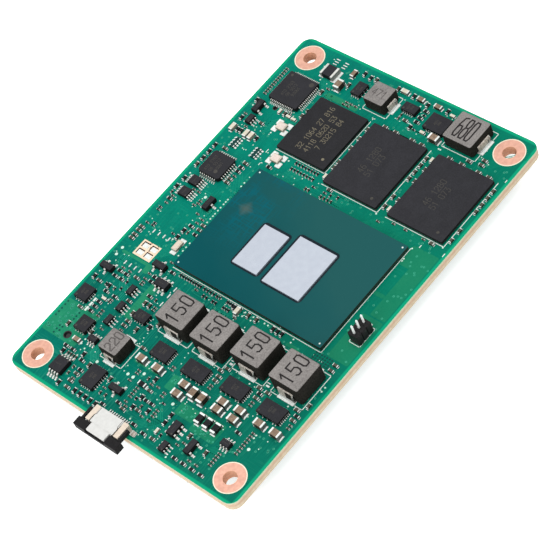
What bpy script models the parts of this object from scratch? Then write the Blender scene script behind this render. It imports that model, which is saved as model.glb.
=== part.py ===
"""A small system on module: a circuit board with its processor, memory, power stages and connectors.

The board lies flat. Its underside is at height zero, with the frame's origin at its centre.
+X runs along the board's length towards the memory chips, +Y towards the edge over the module
connector, and +Z up out of the components' side. Lengths are in metres.

Places on the board are in steps of a layout grid that divides its length by 840 and its width by
550, counted from the board's centre, so that one step is a tenth of a millimetre here.
"""
import math

import bmesh
import bpy
from mathutils import Matrix, Vector

# Circuit board
BOARD_LENGTH = 0.084
BOARD_WIDTH = 0.055
BOARD_THICKNESS = 0.002
BOARD_CORNER_RADIUS = 0.002
GRID_STEPS_LONG = 840
GRID_STEPS_WIDE = 550
SCREW_HOLE_INSET = 0.004
SCREW_HOLE_RADIUS = 0.00135
SCREW_HOLE_SIDES = 24

# Clearances
SOLDER_GAP = 0.0003
BUMP_GAP = 0.0001
PEG_CLEARANCE = 0.00015
SLIDE_CLEARANCE = 0.0002
OVERCUT = 0.0005
JOIN_DEPTH = 0.0001

# Processor package
SUBSTRATE_WIDTH = 0.024
SUBSTRATE_LENGTH = 0.035
SUBSTRATE_THICKNESS = 0.0007
DIE_THICKNESS = 0.00035
PROCESSOR_DIE_WIDTH = 0.01075
PROCESSOR_DIE_LENGTH = 0.00855
PROCESSOR_DIE_LEFT = 0.00523
PROCESSOR_DIE_BOTTOM = 0.00938
COMPANION_DIE_WIDTH = 0.00915
COMPANION_DIE_LENGTH = 0.0058
COMPANION_DIE_LEFT = 0.00563
DIE_SPACING = 0.00165

# Flat memory packages
STORAGE_WIDTH = 0.013
STORAGE_LENGTH = 0.0115
MEMORY_WIDTH = 0.015
MEMORY_LENGTH = 0.0124
MEMORY_THICKNESS = 0.0006
MEMORY_EDGE_RADIUS = 0.00025

# Power chokes
CHOKE_WIDTH = 0.0064
CHOKE_LENGTH = 0.0067
CHOKE_HEIGHT = 0.004
CHOKE_EDGE_RADIUS = 0.00045
CHOKE_STRIP = 0.0002
CHOKE_STRIP_REACH = 0.0005

# Leads of the small packages
LEAD_THICKNESS = 0.00013
LEAD_FOOT = 0.0004
MOULD_DRAFT = 0.00006

# Three-pin header
HEADER_PITCH = 0.00127
HEADER_PINS = 3
HEADER_DEPTH = 0.0023
HEADER_HEIGHT = 0.0021
HEADER_PIN_SIDE = 0.0004
HEADER_PIN_RISE = 0.0022
HEADER_TIP_SCALE = 0.4

# Flat cable connector
CABLE_PITCH = 0.0005
CABLE_CONTACTS = 10
CABLE_CONTACT_WIDTH = 0.0002
CABLE_END_WALL = 0.0011
CABLE_SIDE_ROOM = 0.0006
CABLE_BODY_DEPTH = 0.0031
CABLE_BODY_HEIGHT = 0.0017
CABLE_FLOOR = 0.0003
CABLE_ROOF = 0.00045
CABLE_ROOF_OVERHANG = 0.0016
CABLE_ROOF_STEP = 0.0005
CABLE_TAIL_LENGTH = 0.0006
CABLE_TAIL_THICKNESS = 0.00015
CABLE_BLADE_LENGTH = 0.0014
CABLE_BLADE_THICKNESS = 0.00025
CABLE_SLOT_DEPTH = 0.0022
SLIDER_TONGUE = 0.00035
SLIDER_BAR = 0.0005
SLIDER_BAR_HEIGHT = 0.00085
SLIDER_EAR_LENGTH = 0.0017
SLIDER_EAR_WIDTH = 0.0028
SLIDER_EAR_HEIGHT = 0.0016
SLIDER_ARM_LENGTH = 0.0025
SLIDER_ARM_WIDTH = 0.00055
SLIDER_ARM_HEIGHT = 0.0008
CABLE_OVERHANG = 0.0014
CABLE_TAB_WIDTH = 0.0008
CABLE_TAB_HEIGHT = 0.0006

# Board-to-board plug on the underside
PLUG_LENGTH = 0.061
PLUG_WIDTH = 0.007
PLUG_HEIGHT = 0.004
PLUG_WALL = 0.0009
PLUG_FLOOR = 0.001
PLUG_TONGUE_WIDTH = 0.0017
PLUG_TONGUE_END = 0.0022
PLUG_TONGUE_DROP = 0.0005
PLUG_PEG_INSET = 0.00165
PLUG_PEG_LENGTH = 0.0016
PLUG_EDGE_INSET = 0.006
PLUG_LARGE_HOLE_RADIUS = 0.0007
PLUG_SMALL_HOLE_RADIUS = 0.00045
PEG_SIDES = 16

# Clamping diode: a moulded block with a metal cap at each end
DIODE_WIDTH = 0.0025
DIODE_LENGTH = 0.003
DIODE_HEIGHT = 0.0009
DIODE_CAP_LENGTH = 0.0005
DIODE_CAP_RISE = 0.00004

# Crystal packages: their tray's and lid's shares of the height, and the lid's rim share of the width
CRYSTAL_TRAY_SHARE = 0.7
CRYSTAL_LID_SHARE = 0.5
CRYSTAL_RIM_SHARE = 0.1

BOARD_TOP = BOARD_THICKNESS
SEAT = BOARD_TOP + SOLDER_GAP

# Chips soldered straight onto the board: length over the ends, width, height
CHIP_SIZES = {
    "small": (0.0010, 0.0005, 0.00042),
    "medium": (0.0016, 0.0008, 0.0007),
    "capacitor": (0.0020, 0.00125, 0.00125),
    "resistor": (0.0020, 0.0011, 0.00085),
    "array": (0.0010, 0.0023, 0.0004),
}

# Rows of such chips: size, direction of the ends, first place, number in the row, step to the next
CHIP_ROWS = (
    ("small", "x", (-123, -16), 1, (0, 0)),
    ("medium", "x", (-126.5, -27.5), 1, (0, 0)),
    ("small", "x", (-123, -50), 2, (0, -18.5)),
    ("small", "x", (-122, -107), 3, (0, -10.2)),
    ("small", "y", (157, -2), 1, (0, 0)),
    ("small", "x", (177, 25), 1, (0, 0)),
    ("small", "x", (200, 23.5), 2, (13.5, 0)),
    ("small", "x", (249, 23.5), 3, (24, 0)),
    ("small", "x", (178, -113.5), 2, (24, 0)),
    ("small", "x", (247, -113.5), 4, (16.5, 0)),
    ("small", "x", (178, -124.5), 2, (121, 0)),
    ("small", "x", (200, -127), 1, (0, 0)),
    ("small", "x", (247, -127), 2, (29, 0)),
    ("small", "y", (317.5, -2), 2, (0, -25)),
    ("small", "y", (317.5, -65), 2, (0, -22)),
    ("small", "y", (317.5, -151), 2, (0, -27)),
    ("small", "y", (317.5, -215), 2, (0, -23)),
    ("small", "x", (178, -263), 2, (23, 0)),
    ("small", "x", (247, -263), 4, (16.5, 0)),
    ("small", "y", (156, -237), 1, (0, 0)),
    ("small", "y", (329, -185), 1, (0, 0)),
    ("small", "y", (333, -209.5), 2, (10, 0)),
    ("capacitor", "y", (336.5, -101), 1, (0, 0)),
    ("small", "y", (340, -70), 1, (0, 0)),
    ("small", "x", (339, -42), 1, (0, 0)),
    ("small", "y", (354, -46), 2, (10.5, 0)),
    ("small", "y", (381.5, -46), 1, (0, 0)),
    ("small", "y", (347, -25), 1, (0, 0)),
    ("small", "x", (399, 33), 1, (0, 0)),
    ("medium", "y", (399, 16), 1, (0, 0)),
    ("small", "x", (399, -4), 1, (0, 0)),
    ("medium", "y", (398, -22), 1, (0, 0)),
    ("small", "x", (394, -40), 1, (0, 0)),
    ("medium", "y", (399, -61), 1, (0, 0)),
    ("small", "x", (400, -82), 1, (0, 0)),
    ("small", "y", (396, -96), 1, (0, 0)),
    ("small", "x", (397.5, 112), 2, (-2.5, -16)),
    ("small", "x", (396, 83), 1, (0, 0)),
    ("capacitor", "x", (351, 136), 1, (0, 0)),
    ("small", "x", (362, 123), 1, (0, 0)),
    ("medium", "x", (387, 130), 1, (0, 0)),
    ("small", "x", (325, 159), 1, (0, 0)),
    ("small", "x", (263, 155), 1, (0, 0)),
    ("small", "x", (252, 200), 1, (0, 0)),
    ("small", "x", (252, 188), 1, (0, 0)),
    ("small", "y", (250, 177), 2, (-0.5, -13)),
    ("medium", "x", (180, 256), 1, (0, 0)),
    ("medium", "x", (180, 222), 2, (0, -12)),
    ("small", "x", (181, 245), 2, (0, -9)),
    ("small", "x", (181, 198), 1, (0, 0)),
    ("array", "y", (155, 228), 2, (0, -52)),
    ("small", "y", (135, 236), 1, (0, 0)),
    ("small", "x", (81, 260), 1, (0, 0)),
    ("small", "x", (98, 259), 3, (16.8, 0)),
    ("small", "y", (77, 180), 2, (9, 0)),
    ("small", "y", (106, 178), 2, (10, 0)),
    ("small", "y", (127, 177), 1, (0, 0)),
    ("small", "x", (206, 257), 1, (0, 0)),
    ("small", "y", (213, 213), 1, (0, 0)),
    ("small", "x", (252, 258), 1, (0, 0)),
    ("small", "y", (142, 132), 1, (0, 0)),
    ("small", "y", (-106, 255), 2, (8.5, 0)),
    ("small", "y", (-86.5, 255), 2, (8.5, 0)),
    ("small", "x", (-62, 179), 1, (0, 0)),
    ("small", "x", (-45, 178.5), 1, (0, 0)),
    ("small", "y", (-31, 172), 1, (0, 0)),
    ("small", "y", (-42, 152), 1, (0, 0)),
    ("small", "y", (-30, 152.5), 2, (11, 0)),
    ("small", "y", (-4, 252), 1, (0, 0)),
    ("small", "x", (24, 260), 1, (0, 0)),
    ("small", "x", (45, 259), 1, (0, 0)),
    ("small", "y", (-267, 234), 1, (0, 0)),
    ("small", "y", (-263, 211), 3, (11, 0)),
    ("small", "y", (-231, 207), 1, (0, 0)),
    ("small", "y", (-217.5, 215), 1, (0, 0)),
    ("small", "y", (-218, 192), 1, (0, 0)),
    ("small", "y", (-207, 243), 1, (0, 0)),
    ("small", "x", (-204, 258), 1, (0, 0)),
    ("small", "x", (-206, 219), 1, (0, 0)),
    ("small", "y", (-184, 224), 2, (0, -16)),
    ("small", "y", (-171, 223), 2, (0, -16)),
    ("small", "y", (-167, 185), 1, (0, 0)),
    ("small", "y", (-211.5, 162), 1, (0, 0)),
    ("small", "y", (-159.5, 155), 2, (10.5, 0)),
    ("small", "x", (-227, 138), 1, (0, 0)),
    ("small", "y", (-254, 134), 2, (10, 0)),
    ("small", "x", (-249, 108), 1, (0, 0)),
    ("small", "x", (-233, 90), 1, (0, 0)),
    ("small", "x", (-220, 79), 1, (0, 0)),
    ("small", "x", (-199.5, 133), 2, (0, -11)),
    ("small", "y", (-184.5, 135), 1, (0, 0)),
    ("small", "y", (-125, 133), 1, (0, 0)),
    ("small", "x", (-351, 197), 1, (0, 0)),
    ("small", "y", (-340, 199), 2, (0, -17)),
    ("medium", "y", (-321.5, 189), 1, (0, 0)),
    ("small", "x", (-304, 229), 1, (0, 0)),
    ("small", "x", (-296, 177.5), 1, (0, 0)),
    ("small", "x", (-337, 157), 1, (0, 0)),
    ("small", "y", (-348, 151), 1, (0, 0)),
    ("small", "x", (-403, 157), 1, (0, 0)),
    ("small", "y", (-389, 140), 2, (16, 0)),
    ("small", "y", (-364, 139), 1, (0, 0)),
    ("small", "x", (-348, 132), 1, (0, 0)),
    ("small", "y", (-402, 136), 1, (0, 0)),
    ("small", "x", (-400, 119), 5, (0, -13)),
    ("small", "x", (-349, 79), 1, (0, 0)),
    ("small", "y", (-393, 55), 1, (0, 0)),
    ("small", "y", (-376, 32), 1, (0, 0)),
    ("small", "y", (-381, 17), 1, (0, 0)),
    ("small", "x", (-369, 4), 1, (0, 0)),
    ("small", "x", (-346, 3), 1, (0, 0)),
    ("small", "y", (-347, -9), 2, (0, -13)),
    ("small", "y", (-369, -9), 1, (0, 0)),
    ("small", "x", (-361, -26), 1, (0, 0)),
    ("medium", "y", (-327, 19), 1, (0, 0)),
    ("small", "y", (-329, 0), 1, (0, 0)),
    ("small", "x", (-307, 6), 1, (0, 0)),
    ("capacitor", "y", (-290, 53), 2, (0, -39)),
    ("capacitor", "y", (-310, -51), 2, (20.5, 0)),
    ("capacitor", "x", (-294, -75), 2, (0, -21)),
    ("capacitor", "y", (-296, -133), 2, (16, 0)),
    ("capacitor", "y", (-296, -170), 2, (18.5, 0)),
    ("capacitor", "y", (-278.5, -215), 2, (0, -36)),
    ("resistor", "x", (-324.5, -117), 3, (0, -18.7)),
    ("small", "x", (-381, -66), 1, (0, 0)),
    ("small", "x", (-362, -67), 2, (17, 0)),
    ("small", "y", (-398, -49), 1, (0, 0)),
    ("small", "y", (-397, -70), 1, (0, 0)),
    ("small", "y", (-393.5, -22), 1, (0, 0)),
    ("small", "y", (-271, 70), 1, (0, 0)),
    ("small", "y", (-404, -129), 4, (0, -20.2)),
    ("small", "x", (-358, -123), 1, (0, 0)),
    ("small", "x", (-368, -169), 1, (0, 0)),
    ("small", "y", (-309, -191), 1, (0, 0)),
    ("small", "y", (-253, -88), 2, (9, 0)),
    ("small", "y", (-233, -82), 1, (0, 0)),
    ("small", "y", (-224, -91), 1, (0, 0)),
    ("small", "y", (-242, -173), 1, (0, 0)),
    ("small", "y", (-232.5, -173), 1, (0, 0)),
    ("small", "y", (-224, -165), 2, (0, -19)),
    ("small", "y", (-242, -256), 1, (0, 0)),
    ("small", "y", (-232.5, -257), 1, (0, 0)),
    ("small", "y", (-223, -249), 1, (0, 0)),
    ("small", "x", (-207, -262), 1, (0, 0)),
    ("small", "y", (-134, -250), 2, (12, 0)),
)

# Decoupling capacitors on the underside, below the processor
UNDERSIDE_ROWS = (
    ("small", "y", (-60, -105), 8, (20, 0)),
    ("small", "y", (-60, -85), 8, (20, 0)),
    ("small", "y", (-60, -65), 8, (20, 0)),
)

# Power stages: name, place, width, length
POWER_STAGE_HEIGHT = 0.0006
POWER_STAGES = (
    ("power_stage_1", (-260, 30), 0.0030, 0.0041),
    ("power_stage_2", (-258, -48), 0.0030, 0.0050),
    ("power_stage_3", (-248, -132), 0.0030, 0.0050),
    ("power_stage_4", (-248, -217), 0.0030, 0.0050),
)

# Flat leadless regulators and switches: name, place, width, length, pads a side in X and in Y
REGULATOR_HEIGHT = 0.0006
REGULATORS = (
    ("standby_regulator", (-363, 106), 0.0043, 0.0033),
    ("core_regulator", (-225, 115), 0.0021, 0.0030),
    ("memory_regulator", (366, -86), 0.0036, 0.0044),
    ("bus_regulator", (371, -19), 0.0019, 0.0032),
    ("input_regulator", (362, 95), 0.0030, 0.0021),
    ("load_switch_1", (-241, 245), 0.0031, 0.0029),
    ("load_switch_2", (-291, 198), 0.0030, 0.0029),
)

# Small packages with bent leads: name, place, turn in degrees, family
LEADED_PACKAGES = (
    ("level_shifter_1", (20, 233), 0, "eight_lead_small"),
    ("level_shifter_2", (49, 233), 0, "eight_lead_small"),
    ("sensor_chip", (-377, 177), 90, "eight_lead"),
    ("transistor_1", (22, 174), 0, "three_lead"),
    ("transistor_2", (240, 242), 180, "three_lead"),
    ("transistor_3", (-178, 248), 270, "three_lead"),
    ("transistor_4", (-127, 161), 90, "three_lead"),
    ("transistor_5", (-374, -142), 180, "three_lead"),
    ("transistor_6", (-359, 52), 270, "three_lead"),
    ("gate_chip_1", (209, 236), 0, "six_lead_small"),
    ("gate_chip_2", (-261, 164), 0, "six_lead_small"),
    ("gate_chip_3", (-229, 164), 0, "six_lead_small"),
    ("gate_chip_4", (-193, 171), 0, "six_lead_small"),
    ("gate_chip_5", (-398, -100), 0, "six_lead_small"),
    ("gate_chip_6", (-306, 161), 90, "six_lead_small"),
    ("gate_chip_7", (-337, -190), 90, "six_lead_small"),
    ("supervisor_chip_1", (-155, 129), 90, "six_lead"),
    ("supervisor_chip_2", (-363, -94), 0, "six_lead"),
)

# Each family: body along the lead row, body across, height, lead pitch, lead width, lead reach,
# and the leads' places in a row, in pitches from its middle, on the near and on the far side
LEAD_FAMILIES = {
    "three_lead": (0.0029, 0.0013, 0.0008, 0.00095, 0.0004, 0.00055, (0,), (-1, 1)),
    "six_lead": (0.0029, 0.0016, 0.0009, 0.00095, 0.0004, 0.0006, (-1, 0, 1), (-1, 0, 1)),
    "six_lead_small": (0.0020, 0.00125, 0.0007, 0.00065, 0.00022, 0.00045, (-1, 0, 1), (-1, 0, 1)),
    "eight_lead": (0.0029, 0.0030, 0.0008, 0.00065, 0.0003, 0.0009,
                   (-1.5, -0.5, 0.5, 1.5), (-1.5, -0.5, 0.5, 1.5)),
    "eight_lead_small": (0.0020, 0.0022, 0.0006, 0.0005, 0.00022, 0.0008,
                         (-1.5, -0.5, 0.5, 1.5), (-1.5, -0.5, 0.5, 1.5)),
}

# Square packages with bent leads on four sides: name, place, side, leads a side, pitch, reach
QUAD_HEIGHT = 0.0007
QUAD_PACKAGES = (
    ("network_controller", (300, 205), 0.0070, 14, 0.0004, 0.00035),
    ("board_controller", (95, 219), 0.0053, 8, 0.0005, 0.00035),
)
QUAD_LEAD_WIDTH = 0.00018

# Crystals: name, place, turn in degrees, length, width, height
CRYSTALS = (
    ("network_crystal", (225, 172), 90, 0.0020, 0.0016, 0.00045),
    ("processor_crystal", (163, 132), 90, 0.0020, 0.0016, 0.00045),
    ("clock_crystal", (-77, 164), 0, 0.0022, 0.0012, 0.00045),
)

# Chokes with bent strip ends: name, place, turn in degrees, width, length, height
CHOKES = (
    ("power_choke_1", (-191, 38), 0, CHOKE_WIDTH, CHOKE_LENGTH, CHOKE_HEIGHT),
    ("power_choke_2", (-191, -45), 0, CHOKE_WIDTH, CHOKE_LENGTH, CHOKE_HEIGHT),
    ("power_choke_3", (-179, -130), 0, CHOKE_WIDTH, CHOKE_LENGTH, CHOKE_HEIGHT),
    ("power_choke_4", (-179, -219), 0, CHOKE_WIDTH, CHOKE_LENGTH, CHOKE_HEIGHT),
    ("standby_choke", (-297, 105), 0, 0.0045, 0.0045, 0.0028),
    ("bus_choke", (360, 39), 90, 0.0046, 0.0046, 0.0026),
    ("memory_choke", (369, -155), 90, 0.0065, 0.0063, 0.0027),
)

# Colours, roughness and metallic value of the materials
FINISHES = {
    "solder_mask": ((0.0, 0.24, 0.155), 0.35, 0.0),
    "package_laminate": ((0.015, 0.12, 0.13), 0.4, 0.0),
    "silicon": ((0.55, 0.6, 0.68), 0.25, 0.3),
    "moulded_black": ((0.035, 0.035, 0.038), 0.55, 0.0),
    "choke_grey": ((0.33, 0.3, 0.29), 0.6, 0.1),
    "crystal_lid": ((0.6, 0.57, 0.5), 0.35, 0.9),
    "cable_housing": ((0.82, 0.8, 0.74), 0.45, 0.0),
    "cable_slider": ((0.02, 0.02, 0.02), 0.5, 0.0),
    "header_black": ((0.015, 0.015, 0.015), 0.5, 0.0),
    "pin_metal": ((0.8, 0.78, 0.72), 0.25, 1.0),
    "plug_black": ((0.02, 0.02, 0.02), 0.45, 0.0),
}

for old in list(bpy.data.objects):
    bpy.data.objects.remove(old)

module = bpy.data.collections.new("system_on_module")
tools = bpy.data.collections.new("tools")
bpy.context.scene.collection.children.link(module)
bpy.context.scene.collection.children.link(tools)


def spot(place, height=0.0):
    """Where a place on the layout grid is, at a height."""
    across = place[0] * BOARD_LENGTH / GRID_STEPS_LONG
    up = place[1] * BOARD_WIDTH / GRID_STEPS_WIDE
    return Vector((across, up, height))


def finish_material(name):
    """The named finish as a material with a Principled surface, made once."""
    material = bpy.data.materials.get(name)
    if material:
        return material
    colour, roughness, metallic = FINISHES[name]
    material = bpy.data.materials.new(name)
    material.use_nodes = True
    surface = material.node_tree.nodes["Principled BSDF"]
    surface.inputs["Base Color"].default_value = (*colour, 1.0)
    surface.inputs["Roughness"].default_value = roughness
    surface.inputs["Metallic"].default_value = metallic
    return material


def add_block(mesh, size, centre, draft=0.0):
    """Add a cuboid to an open bmesh. Its top and bottom are smaller all round by the draft."""
    corners = bmesh.ops.create_cube(mesh, size=1.0)["verts"]
    bmesh.ops.scale(mesh, vec=size, verts=corners)
    if draft:
        edges = list({edge for corner in corners for edge in corner.link_edges})
        faces = list({face for corner in corners for face in corner.link_faces})
        belt_cut = bmesh.ops.bisect_plane(mesh, geom=corners + edges + faces, dist=1e-7,
                                          plane_co=(0, 0, 0), plane_no=(0, 0, 1))
        belt = [item for item in belt_cut["geom_cut"] if isinstance(item, bmesh.types.BMVert)]
        bmesh.ops.scale(mesh, vec=(1 + 2 * draft / size[0], 1 + 2 * draft / size[1], 1.0), verts=belt)
        corners = corners + belt
    bmesh.ops.translate(mesh, vec=centre, verts=corners)
    return corners


def add_cylinder(mesh, radius, low, high, centre, sides):
    """Add an upright cylinder to an open bmesh, between two heights."""
    place = Matrix.Translation((centre[0], centre[1], (low + high) / 2))
    bmesh.ops.create_cone(mesh, cap_ends=True, segments=sides, radius1=radius, radius2=radius,
                          depth=high - low, matrix=place)


def round_upright_edges(mesh, radius, segments):
    """Round the upright edges of everything in an open bmesh."""
    upright = []
    for edge in mesh.edges:
        run = edge.verts[1].co - edge.verts[0].co
        if abs(run.z) > 0.9 * run.length:
            upright.append(edge)
    bmesh.ops.bevel(mesh, geom=upright, offset=radius, segments=segments, profile=0.5,
                    affect="EDGES", clamp_overlap=True)


def solid(name, mesh, finish, location=(0, 0, 0), turn=0.0):
    """Make a finished bmesh a named object of the module."""
    data = bpy.data.meshes.new(name)
    bmesh.ops.recalc_face_normals(mesh, faces=mesh.faces)
    mesh.to_mesh(data)
    mesh.free()
    data.materials.append(finish_material(finish))
    piece = bpy.data.objects.new(name, data)
    piece.location = location
    piece.rotation_euler = (0, 0, math.radians(turn))
    module.objects.link(piece)
    return piece


def tool_solid(name, mesh, carrier):
    """Make a bmesh a hidden tool that cuts or joins its carrier, in the carrier's own place."""
    data = bpy.data.meshes.new(name)
    bmesh.ops.recalc_face_normals(mesh, faces=mesh.faces)
    mesh.to_mesh(data)
    mesh.free()
    tool = bpy.data.objects.new(name, data)
    tool.location = carrier.location
    tool.rotation_euler = carrier.rotation_euler
    tool.hide_render = True
    tool.display_type = "WIRE"
    tools.objects.link(tool)
    return tool


def combine(piece, mesh, name, operation):
    """Cut a bmesh from a piece, or join it to the piece."""
    boolean = piece.modifiers.new(name, "BOOLEAN")
    boolean.solver = "EXACT"
    boolean.operation = operation
    boolean.object = tool_solid(piece.name + "_" + name, mesh, piece)


def outline_mesh(points, thickness):
    """A flat outline in X and Z, made solid by a thickness along Y, as an open bmesh."""
    curve = bpy.data.curves.new("outline", "CURVE")
    curve.dimensions = "2D"
    curve.fill_mode = "BOTH"
    curve.extrude = thickness / 2
    spline = curve.splines.new("POLY")
    spline.points.add(len(points) - 1)
    for point, (across, up) in zip(spline.points, points):
        point.co = (across, up, 0, 1)
    spline.use_cyclic_u = True
    holder = bpy.data.objects.new("outline", curve)
    tools.objects.link(holder)
    flat = holder.evaluated_get(bpy.context.evaluated_depsgraph_get())
    data = bpy.data.meshes.new_from_object(flat)
    mesh = bmesh.new()
    mesh.from_mesh(data)
    bmesh.ops.remove_doubles(mesh, verts=mesh.verts, dist=1e-6)
    bmesh.ops.rotate(mesh, verts=mesh.verts, cent=(0, 0, 0), matrix=Matrix.Rotation(math.pi / 2, 3, "X"))
    bpy.data.objects.remove(holder)
    bpy.data.curves.remove(curve)
    bpy.data.meshes.remove(data)
    return mesh


def add_copy(mesh, shape, place):
    """Add a transformed copy of one bmesh to another."""
    corners = [mesh.verts.new(place @ corner.co) for corner in shape.verts]
    shape.verts.index_update()
    for face in shape.faces:
        mesh.faces.new([corners[corner.index] for corner in face.verts])


def lead_outline(reach, height):
    """A bent lead seen from the side: out of the body, down, and along the pad."""
    shoulder = reach - LEAD_FOOT
    return (
        (-JOIN_DEPTH, height),
        (shoulder * 0.6, height),
        (shoulder, LEAD_THICKNESS),
        (reach, LEAD_THICKNESS),
        (reach, 0.0),
        (shoulder - LEAD_THICKNESS, 0.0),
        (shoulder * 0.6 - LEAD_THICKNESS, height - LEAD_THICKNESS),
        (-JOIN_DEPTH, height - LEAD_THICKNESS),
    )


def add_lead_row(mesh, shape, half_depth, places, turn):
    """Add a row of leads, each a copy of one shape, along the side that faces a direction."""
    facing = Matrix.Rotation(math.radians(turn), 4, "Z")
    for along in places:
        add_copy(mesh, shape, facing @ Matrix.Translation((half_depth, along, 0)))


def circuit_board():
    """The board: a rounded plate with its screw holes, peg holes and soldered small chips."""
    mesh = bmesh.new()
    add_block(mesh, (BOARD_LENGTH, BOARD_WIDTH, BOARD_THICKNESS), (0, 0, BOARD_THICKNESS / 2))
    round_upright_edges(mesh, BOARD_CORNER_RADIUS, 5)
    divide_beside_plug(mesh)
    board = solid("circuit_board", mesh, "solder_mask")
    low = -OVERCUT
    high = BOARD_TOP + OVERCUT
    holes = bmesh.new()
    for side in (-1, 1):
        for end in (-1, 1):
            centre = (end * (BOARD_LENGTH / 2 - SCREW_HOLE_INSET), side * (BOARD_WIDTH / 2 - SCREW_HOLE_INSET))
            add_cylinder(holes, SCREW_HOLE_RADIUS, low, high, centre, SCREW_HOLE_SIDES)
    combine(board, holes, "screw_holes", "DIFFERENCE")
    for number, (centre, radius) in enumerate(plug_pegs()):
        hole = bmesh.new()
        add_cylinder(hole, radius, low, high, centre, PEG_SIDES)
        combine(board, hole, "peg_hole_%d" % (number + 1), "DIFFERENCE")
    chips = bmesh.new()
    add_chip_rows(chips, CHIP_ROWS, BOARD_TOP, 1)
    add_chip_rows(chips, UNDERSIDE_ROWS, 0.0, -1)
    combine(board, chips, "small_chips", "UNION")
    return board


def divide_beside_plug(mesh):
    """Divide the board's faces along the plug's outline, so that each lies beside the plug or under it."""
    centre = plug_centre()
    reach = PLUG_LENGTH / 2 + OVERCUT
    lines = (
        (Vector((centre.x - reach, 0, 0)), (1, 0, 0)),
        (Vector((centre.x + reach, 0, 0)), (1, 0, 0)),
        (Vector((0, centre.y - PLUG_WIDTH / 2 - OVERCUT, 0)), (0, 1, 0)),
    )
    for point, direction in lines:
        geometry = list(mesh.verts) + list(mesh.edges) + list(mesh.faces)
        bmesh.ops.bisect_plane(mesh, geom=geometry, dist=1e-7, plane_co=point, plane_no=direction)


def add_chip_rows(mesh, rows, face, side):
    """Add rows of plain chips that stand on a face of the board and are soldered into it."""
    for size_name, direction, first, count, step in rows:
        length, width, height = CHIP_SIZES[size_name]
        size = (length, width, height + JOIN_DEPTH)
        if direction == "y":
            size = (width, length, height + JOIN_DEPTH)
        for number in range(count):
            place = (first[0] + number * step[0], first[1] + number * step[1])
            add_block(mesh, size, spot(place, face + side * (height - JOIN_DEPTH) / 2))


def plug_centre():
    """The middle of the plug on the underside: its distance from the board's edge is standard."""
    across = spot((-33.5, 0)).x
    return Vector((across, BOARD_WIDTH / 2 - PLUG_EDGE_INSET, 0))


def plug_pegs():
    """The two peg holes' centres and radii: a large one and a small one."""
    centre = plug_centre()
    reach = Vector((PLUG_LENGTH / 2 - PLUG_PEG_INSET, 0, 0))
    return ((centre - reach, PLUG_LARGE_HOLE_RADIUS), (centre + reach, PLUG_SMALL_HOLE_RADIUS))


def processor():
    """The processor package: a laminate on solder balls, with two bare dies on it."""
    place = spot((8, -34.5), SEAT)
    mesh = bmesh.new()
    add_block(mesh, (SUBSTRATE_WIDTH, SUBSTRATE_LENGTH, SUBSTRATE_THICKNESS), (0, 0, SUBSTRATE_THICKNESS / 2))
    solid("processor_substrate", mesh, "package_laminate", place)
    edge = -SUBSTRATE_WIDTH / 2
    lower = -SUBSTRATE_LENGTH / 2 + PROCESSOR_DIE_BOTTOM
    upper = lower + PROCESSOR_DIE_LENGTH + DIE_SPACING
    dies = (
        ("processor_die", edge + PROCESSOR_DIE_LEFT, lower, PROCESSOR_DIE_WIDTH, PROCESSOR_DIE_LENGTH),
        ("companion_die", edge + COMPANION_DIE_LEFT, upper, COMPANION_DIE_WIDTH, COMPANION_DIE_LENGTH),
    )
    for name, left, bottom, width, length in dies:
        mesh = bmesh.new()
        add_block(mesh, (width, length, DIE_THICKNESS), (width / 2, length / 2, DIE_THICKNESS / 2))
        solid(name, mesh, "silicon", place + Vector((left, bottom, SUBSTRATE_THICKNESS + BUMP_GAP)))


def flat_package(name, place, width, length, height, radius):
    """A moulded package with no leads: a low block whose upright edges are a little rounded."""
    mesh = bmesh.new()
    add_block(mesh, (width, length, height), (0, 0, height / 2))
    round_upright_edges(mesh, radius, 2)
    return solid(name, mesh, "moulded_black", spot(place, SEAT))


def leaded_package(name, place, turn, family):
    """A moulded package with bent leads on its two long sides."""
    along, across, height, pitch, lead_width, reach, near, far = LEAD_FAMILIES[family]
    mesh = bmesh.new()
    add_block(mesh, (along, across, height), (0, 0, height / 2), MOULD_DRAFT)
    package = solid(name, mesh, "moulded_black", spot(place, SEAT), turn)
    shape = outline_mesh(lead_outline(reach, height / 2 + LEAD_THICKNESS / 2), lead_width)
    leads = bmesh.new()
    add_lead_row(leads, shape, across / 2, [-pitch * number for number in near], -90)
    add_lead_row(leads, shape, across / 2, [pitch * number for number in far], 90)
    shape.free()
    combine(package, leads, "leads", "UNION")
    return package


def quad_package(name, place, side, count, pitch, reach):
    """A square moulded package with a row of bent leads on each of its four sides."""
    mesh = bmesh.new()
    add_block(mesh, (side, side, QUAD_HEIGHT), (0, 0, QUAD_HEIGHT / 2), MOULD_DRAFT)
    package = solid(name, mesh, "moulded_black", spot(place, SEAT))
    shape = outline_mesh(lead_outline(reach + LEAD_FOOT / 2, QUAD_HEIGHT / 2), QUAD_LEAD_WIDTH)
    leads = bmesh.new()
    places = [(number - (count - 1) / 2) * pitch for number in range(count)]
    for turn in (0, 90, 180, 270):
        add_lead_row(leads, shape, side / 2, places, turn)
    shape.free()
    combine(package, leads, "leads", "UNION")
    return package


def crystal(name, place, turn, length, width, height):
    """A quartz crystal: a ceramic tray with a slightly smaller metal lid on it."""
    mesh = bmesh.new()
    tray = height * CRYSTAL_TRAY_SHARE
    add_block(mesh, (length, width, tray), (0, 0, tray / 2))
    piece = solid(name, mesh, "crystal_lid", spot(place, SEAT), turn)
    lid = bmesh.new()
    rim = width * CRYSTAL_RIM_SHARE
    lid_height = height * CRYSTAL_LID_SHARE
    add_block(lid, (length - 2 * rim, width - 2 * rim, lid_height), (0, 0, height - lid_height / 2))
    combine(piece, lid, "lid", "UNION")
    return piece


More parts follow.
